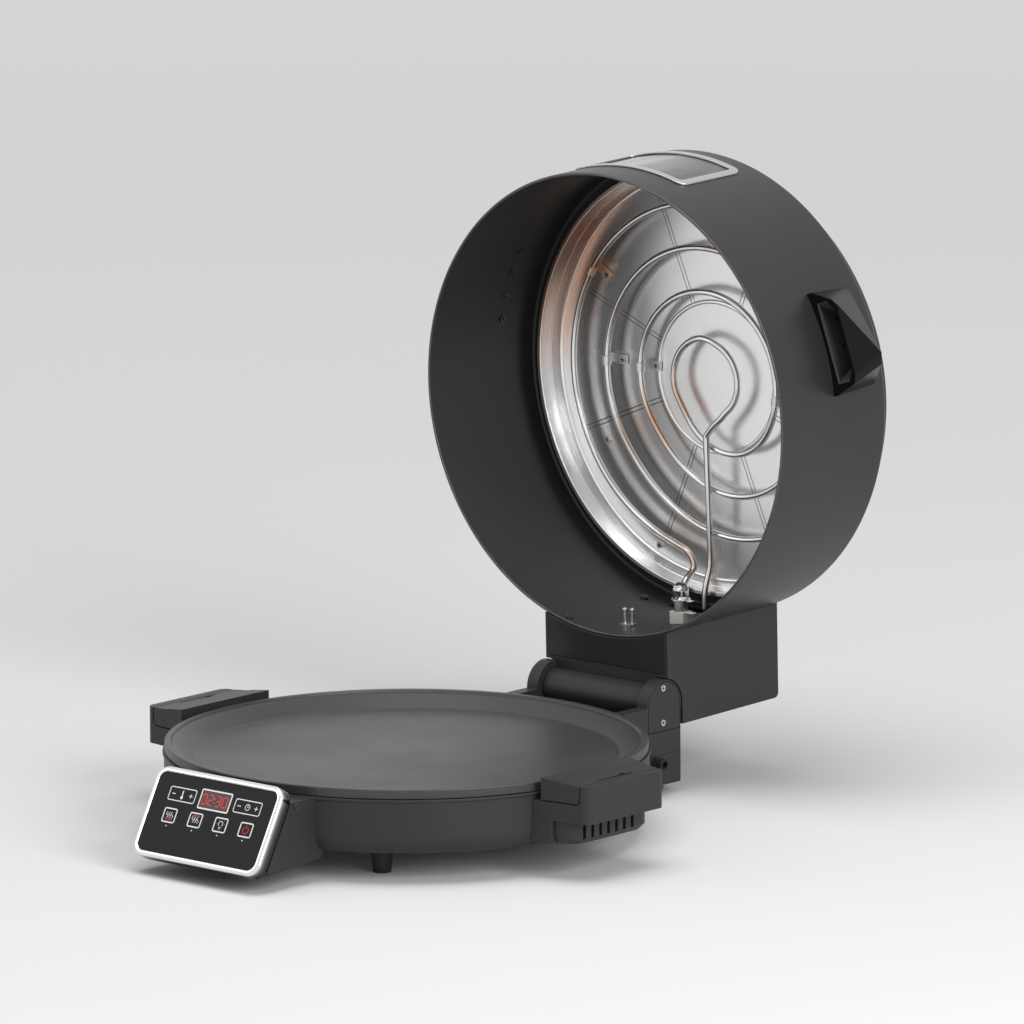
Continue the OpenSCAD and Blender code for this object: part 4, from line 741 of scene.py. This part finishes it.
# Heating tubes: steel sheaths bent in one plane, bright where they are new and straw or bronze
# where they have run hot. The upper one is a spiral of four loops with two leads.
sheath = Finish("tube_sheath", Metallic=1.0, Base_Color=(0.55, 0.53, 0.51), Roughness=0.2)
sheath.drive("Base Color", sheath.node(
    "ValToRGB", {"stops": [(0.50, (0.80, 0.79, 0.78)), (0.58, (0.70, 0.62, 0.57)),
                           (0.68, (0.62, 0.40, 0.30))]}, Fac=sheath.noise(11, 2)))
sheath.drive("Roughness", sheath.noise(120, 3) * 0.14 + 0.14)
sheath.bump(sheath.noise(800, 2), 0.00002, 0.3)


def tube(name, points, radius, node, body, place):
    """A round tube along a smooth curve through a list of points in millimetres."""
    data = bpy.data.curves.new(name, "CURVE")
    data.dimensions = "3D"
    data.resolution_u = data.render_resolution_u = 3
    data.bevel_depth = radius * MM
    data.bevel_resolution = 5
    data.use_fill_caps = True
    route = data.splines.new("NURBS")
    route.points.add(len(points) - 1)
    for spot, point in zip(route.points, points):
        spot.co = (*(place @ Vector(point) * MM), 1)
    route.order_u = 4
    route.use_endpoint_u = True
    route.use_smooth = True
    data.materials.append(sheath.material)
    piece = link(bpy.data.objects.new(name, data))
    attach(piece, body)
    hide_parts(node)


UPPER_LOOP, UPPER_PITCH, UPPER_Z, LEAD_Z = 129, 32.3, 115, 101.8
LEAD1_X, LEAD2_X = -15.7, 5
LEAD_END, LEAD_BEND, EYE_DROP = 182, 160.7, 5.4
SPIRAL_START, INNER_FROM, SPIRAL_END = 254, -865, -1167
STEP_STARTS, STEP_TURN = (-30, -390, -750), 115
INNER_R, EYE_R = 33, 40
INNER_LOOP = [(SPIRAL_END, EYE_R), (-1156, 33), (-1132, 28.6), (-1101, 28), (-1008, 28),
              (-977, 30.7), (-888, INNER_R), (INNER_FROM, INNER_R)]


def eased(t):
    t = min(max(t, 0), 1)
    return t * t * (3 - 2 * t)


def spiral_radius(angle):
    """The upper tube's radius: level loops joined by short steps inwards, then a pear shape."""
    if angle < INNER_FROM:
        for (a, ra), (b, rb) in zip(INNER_LOOP, INNER_LOOP[1:]):
            if a <= angle <= b:
                return ra + (rb - ra) * (angle - a) / (b - a)
    steps = [eased((start - angle) / STEP_TURN) for start in STEP_STARTS]
    last = (UPPER_LOOP - 2 * UPPER_PITCH - INNER_R) / UPPER_PITCH
    return UPPER_LOOP - UPPER_PITCH * (steps[0] + steps[1] + steps[2] * last)


def spiral_level(angle):
    """The upper tube's height in the lid: its end drops to cross the loops."""
    return UPPER_Z - EYE_DROP * eased((-1095 - angle) / 70)


spiral = [(LEAD1_X, LEAD_END, LEAD_Z), (LEAD1_X, LEAD_BEND, LEAD_Z), (LEAD1_X, 152, LEAD_Z),
          (LEAD1_X, 147, LEAD_Z + 4), (LEAD1_X, 143, UPPER_Z - 3)]
spiral += [(LEAD1_X - 13 * (1 - cos(radians(a))), 140 - 13 * sin(radians(a)), UPPER_Z)
           for a in range(0, 77, 19)]
turns = (list(range(SPIRAL_START, INNER_FROM, -6))
         + list(range(INNER_FROM, SPIRAL_END, -7)) + [SPIRAL_END])
for angle in turns:
    r, at = spiral_radius(angle), radians(angle)
    spiral.append((r * cos(at), -r * sin(at), spiral_level(angle)))
spiral += [(2.1 + 2.9 * t, EYE_R + 106 * t, UPPER_Z - EYE_DROP)
           for t in (0.08, 0.2, 0.4, 0.6, 0.8, 0.92)]
spiral += [(LEAD2_X, 150, LEAD_Z), (LEAD2_X, LEAD_BEND, LEAD_Z), (LEAD2_X, LEAD_END, LEAD_Z)]
tube("upper_tube", spiral, 2.4, "upper_element", "lid", ON_DRUM)


# Clips, screws, probe and lamp: folded steel straps round the tube on screwed feet, a two-post
# probe, and a lamp of ceramic, steel and glass on the drum's back wall.
strap_steel = Finish("strap_steel", Metallic=0.75, Roughness=0.35)
sx, sy, _ = drum_space(strap_steel)
strap_steel.drive("Base Color", strap_steel.node(
    "ValToRGB", {"stops": [(0.68, (0.86, 0.86, 0.86)), (0.80, (0.82, 0.56, 0.42))]},
    Fac=towards_hot_side(sx, sy)))
strap_steel.drive("Roughness", strap_steel.noise(60, 3) * 0.2 + 0.26)
for node, finish, width in (("element_clips", strap_steel, 0.2), ("lid_probe", bright_steel, 0.15),
                            ("lamp_block", ceramic, 0.5), ("lamp_socket", bright_steel, 0.4),
                            ("lamp_flange", chrome, 0.3)):
    soften(node + "_finished", node, "lid", finish, width, 2)
cross_headed("clip_fixings", "clip_screws", "lid", bright_steel, 1.4, lambda at: -LID_UP)
cross_headed("dish_fixings", "reflector_screws", "lid", bright_steel, 1.6, lambda at: -LID_UP)


def towards_axis(at):
    inside = ON_DRUM.inverted() @ at
    return ON_DRUM.to_3x3() @ Vector((-inside.x, -inside.y, 0))


cross_headed("wall_fixings", "wall_screws", "lid", dark_steel, 1.4, towards_axis)
dress(ceramic, "element_terminals")
clear_glass = Finish("lamp_glass_clear", Base_Color=(0.95, 0.97, 0.97), Roughness=0.03, IOR=1.5,
                     Transmission_Weight=1.0)
clear_glass.bump(clear_glass.noise(120, 2), 0.00003, 0.4)
soften("lamp_cap", "lamp_glass", "lid", clear_glass, 0.3, 2)


# Window: curved toughened glass in the opening of the drum's front, its grey colour streaked
# lighter on a slant as painted reflection.
# A satin pressed frame is crimped round it from outside.
trim_satin = Finish("trim_satin", Metallic=1.0, Base_Color=(0.54, 0.54, 0.53), Roughness=0.3)
trim_satin.drive("Roughness", trim_satin.noise(90, 3) * 0.16 + 0.22)
soften("window_trim", "window_frame", "lid", trim_satin, 0.45)
window_glass = Finish("window_tint_and_painted_reflection", Roughness=0.08, IOR=1.5, Transmission_Weight=0.55)
reflection_streaks = window_glass.noise(7, 2, place=window_glass.node(
    "Mapping", Vector=window_glass.place(), Rotation=(0, 0, radians(-62)), Scale=(5.5, 0.9, 1.0)))
# Slanting lighter streaks in the glass's colour: painted reflection.
window_glass.drive("Base Color", window_glass.node(
    "ValToRGB", {"stops": [(0.36, (0.13, 0.13, 0.125)), (0.52, (0.30, 0.30, 0.29)),
                           (0.66, (0.62, 0.62, 0.60))]}, Fac=reflection_streaks))
window_glass.bump(window_glass.noise(14, 2), 0.0004, 0.4)
pane = turned([(167.8, 34.2), (167.8, 91.8), (165.6, 91.8), (165.6, 34.2)], 240)
spare = []
for face in pane.faces:
    at = face.calc_center_median()
    if abs((degrees(atan2(at.y, at.x)) + 90 + 180) % 360 - 180) > WINDOW_HALF:
        spare.append(face)
bmesh.ops.delete(pane, geom=spare, context="FACES")
ends = [e for e in pane.edges if e.is_boundary]
bmesh.ops.holes_fill(pane, edges=ends, sides=0)
bmesh.ops.recalc_face_normals(pane, faces=pane.faces)
new_piece("window_pane", pane, "lid", window_glass, ON_DRUM, ("window_glass",))


# Side handles: faceted cups moulded in black, smooth outside, matt in the finger recess and
# painted lighter there as painted light falling into it.
# Each is held by four screws through the drum's wall.
gloss_black = dark_plastic("gloss_black", (0.0055, 0.0055, 0.006), 0.26, 0.00001, 0.10)
# A matt plastic for the finger recess, painted much lighter than the grip: painted light.
matt_recess_painted_light = dark_plastic("matt_recess_painted_light", (0.055, 0.055, 0.057), 0.5)
RECESS_MIDDLE = (168.5, -57.4, 66)
for side, way in (("left", -1), ("right", 1)):
    grip = soften(f"side_grip_{side}", f"lid_handle_{side}", "lid", gloss_black, 0.7)
    grip.data.materials.append(matt_recess_painted_light.material)
    hollow = ON_DRUM @ Vector((way * RECESS_MIDDLE[0], *RECESS_MIDDLE[1:])) * MM
    # Faces that look into the hollow take the lighter finish: painted light in the finger recess.
    for face in grip.data.polygons:
        if face.normal.dot(hollow - face.center) > 0:
            face.material_index = 1


# Rear box: a moulded housing behind the drum with a smooth plate under it, and the barrel that
# turns on two steel pins between the tower's ears.
dark_gloss = dark_plastic("dark_gloss", (0.020, 0.0175, 0.0155), 0.16, 0.00001)
soften("rear_housing", "rear_box", "lid", charcoal, 0.9)
soften("housing_plate", "box_cover", "lid", dark_gloss, 0.5)
soften("barrel_sleeve", "hinge_barrel", "lid", charcoal, 0.5)
dress(bright_steel, "hinge_pins")
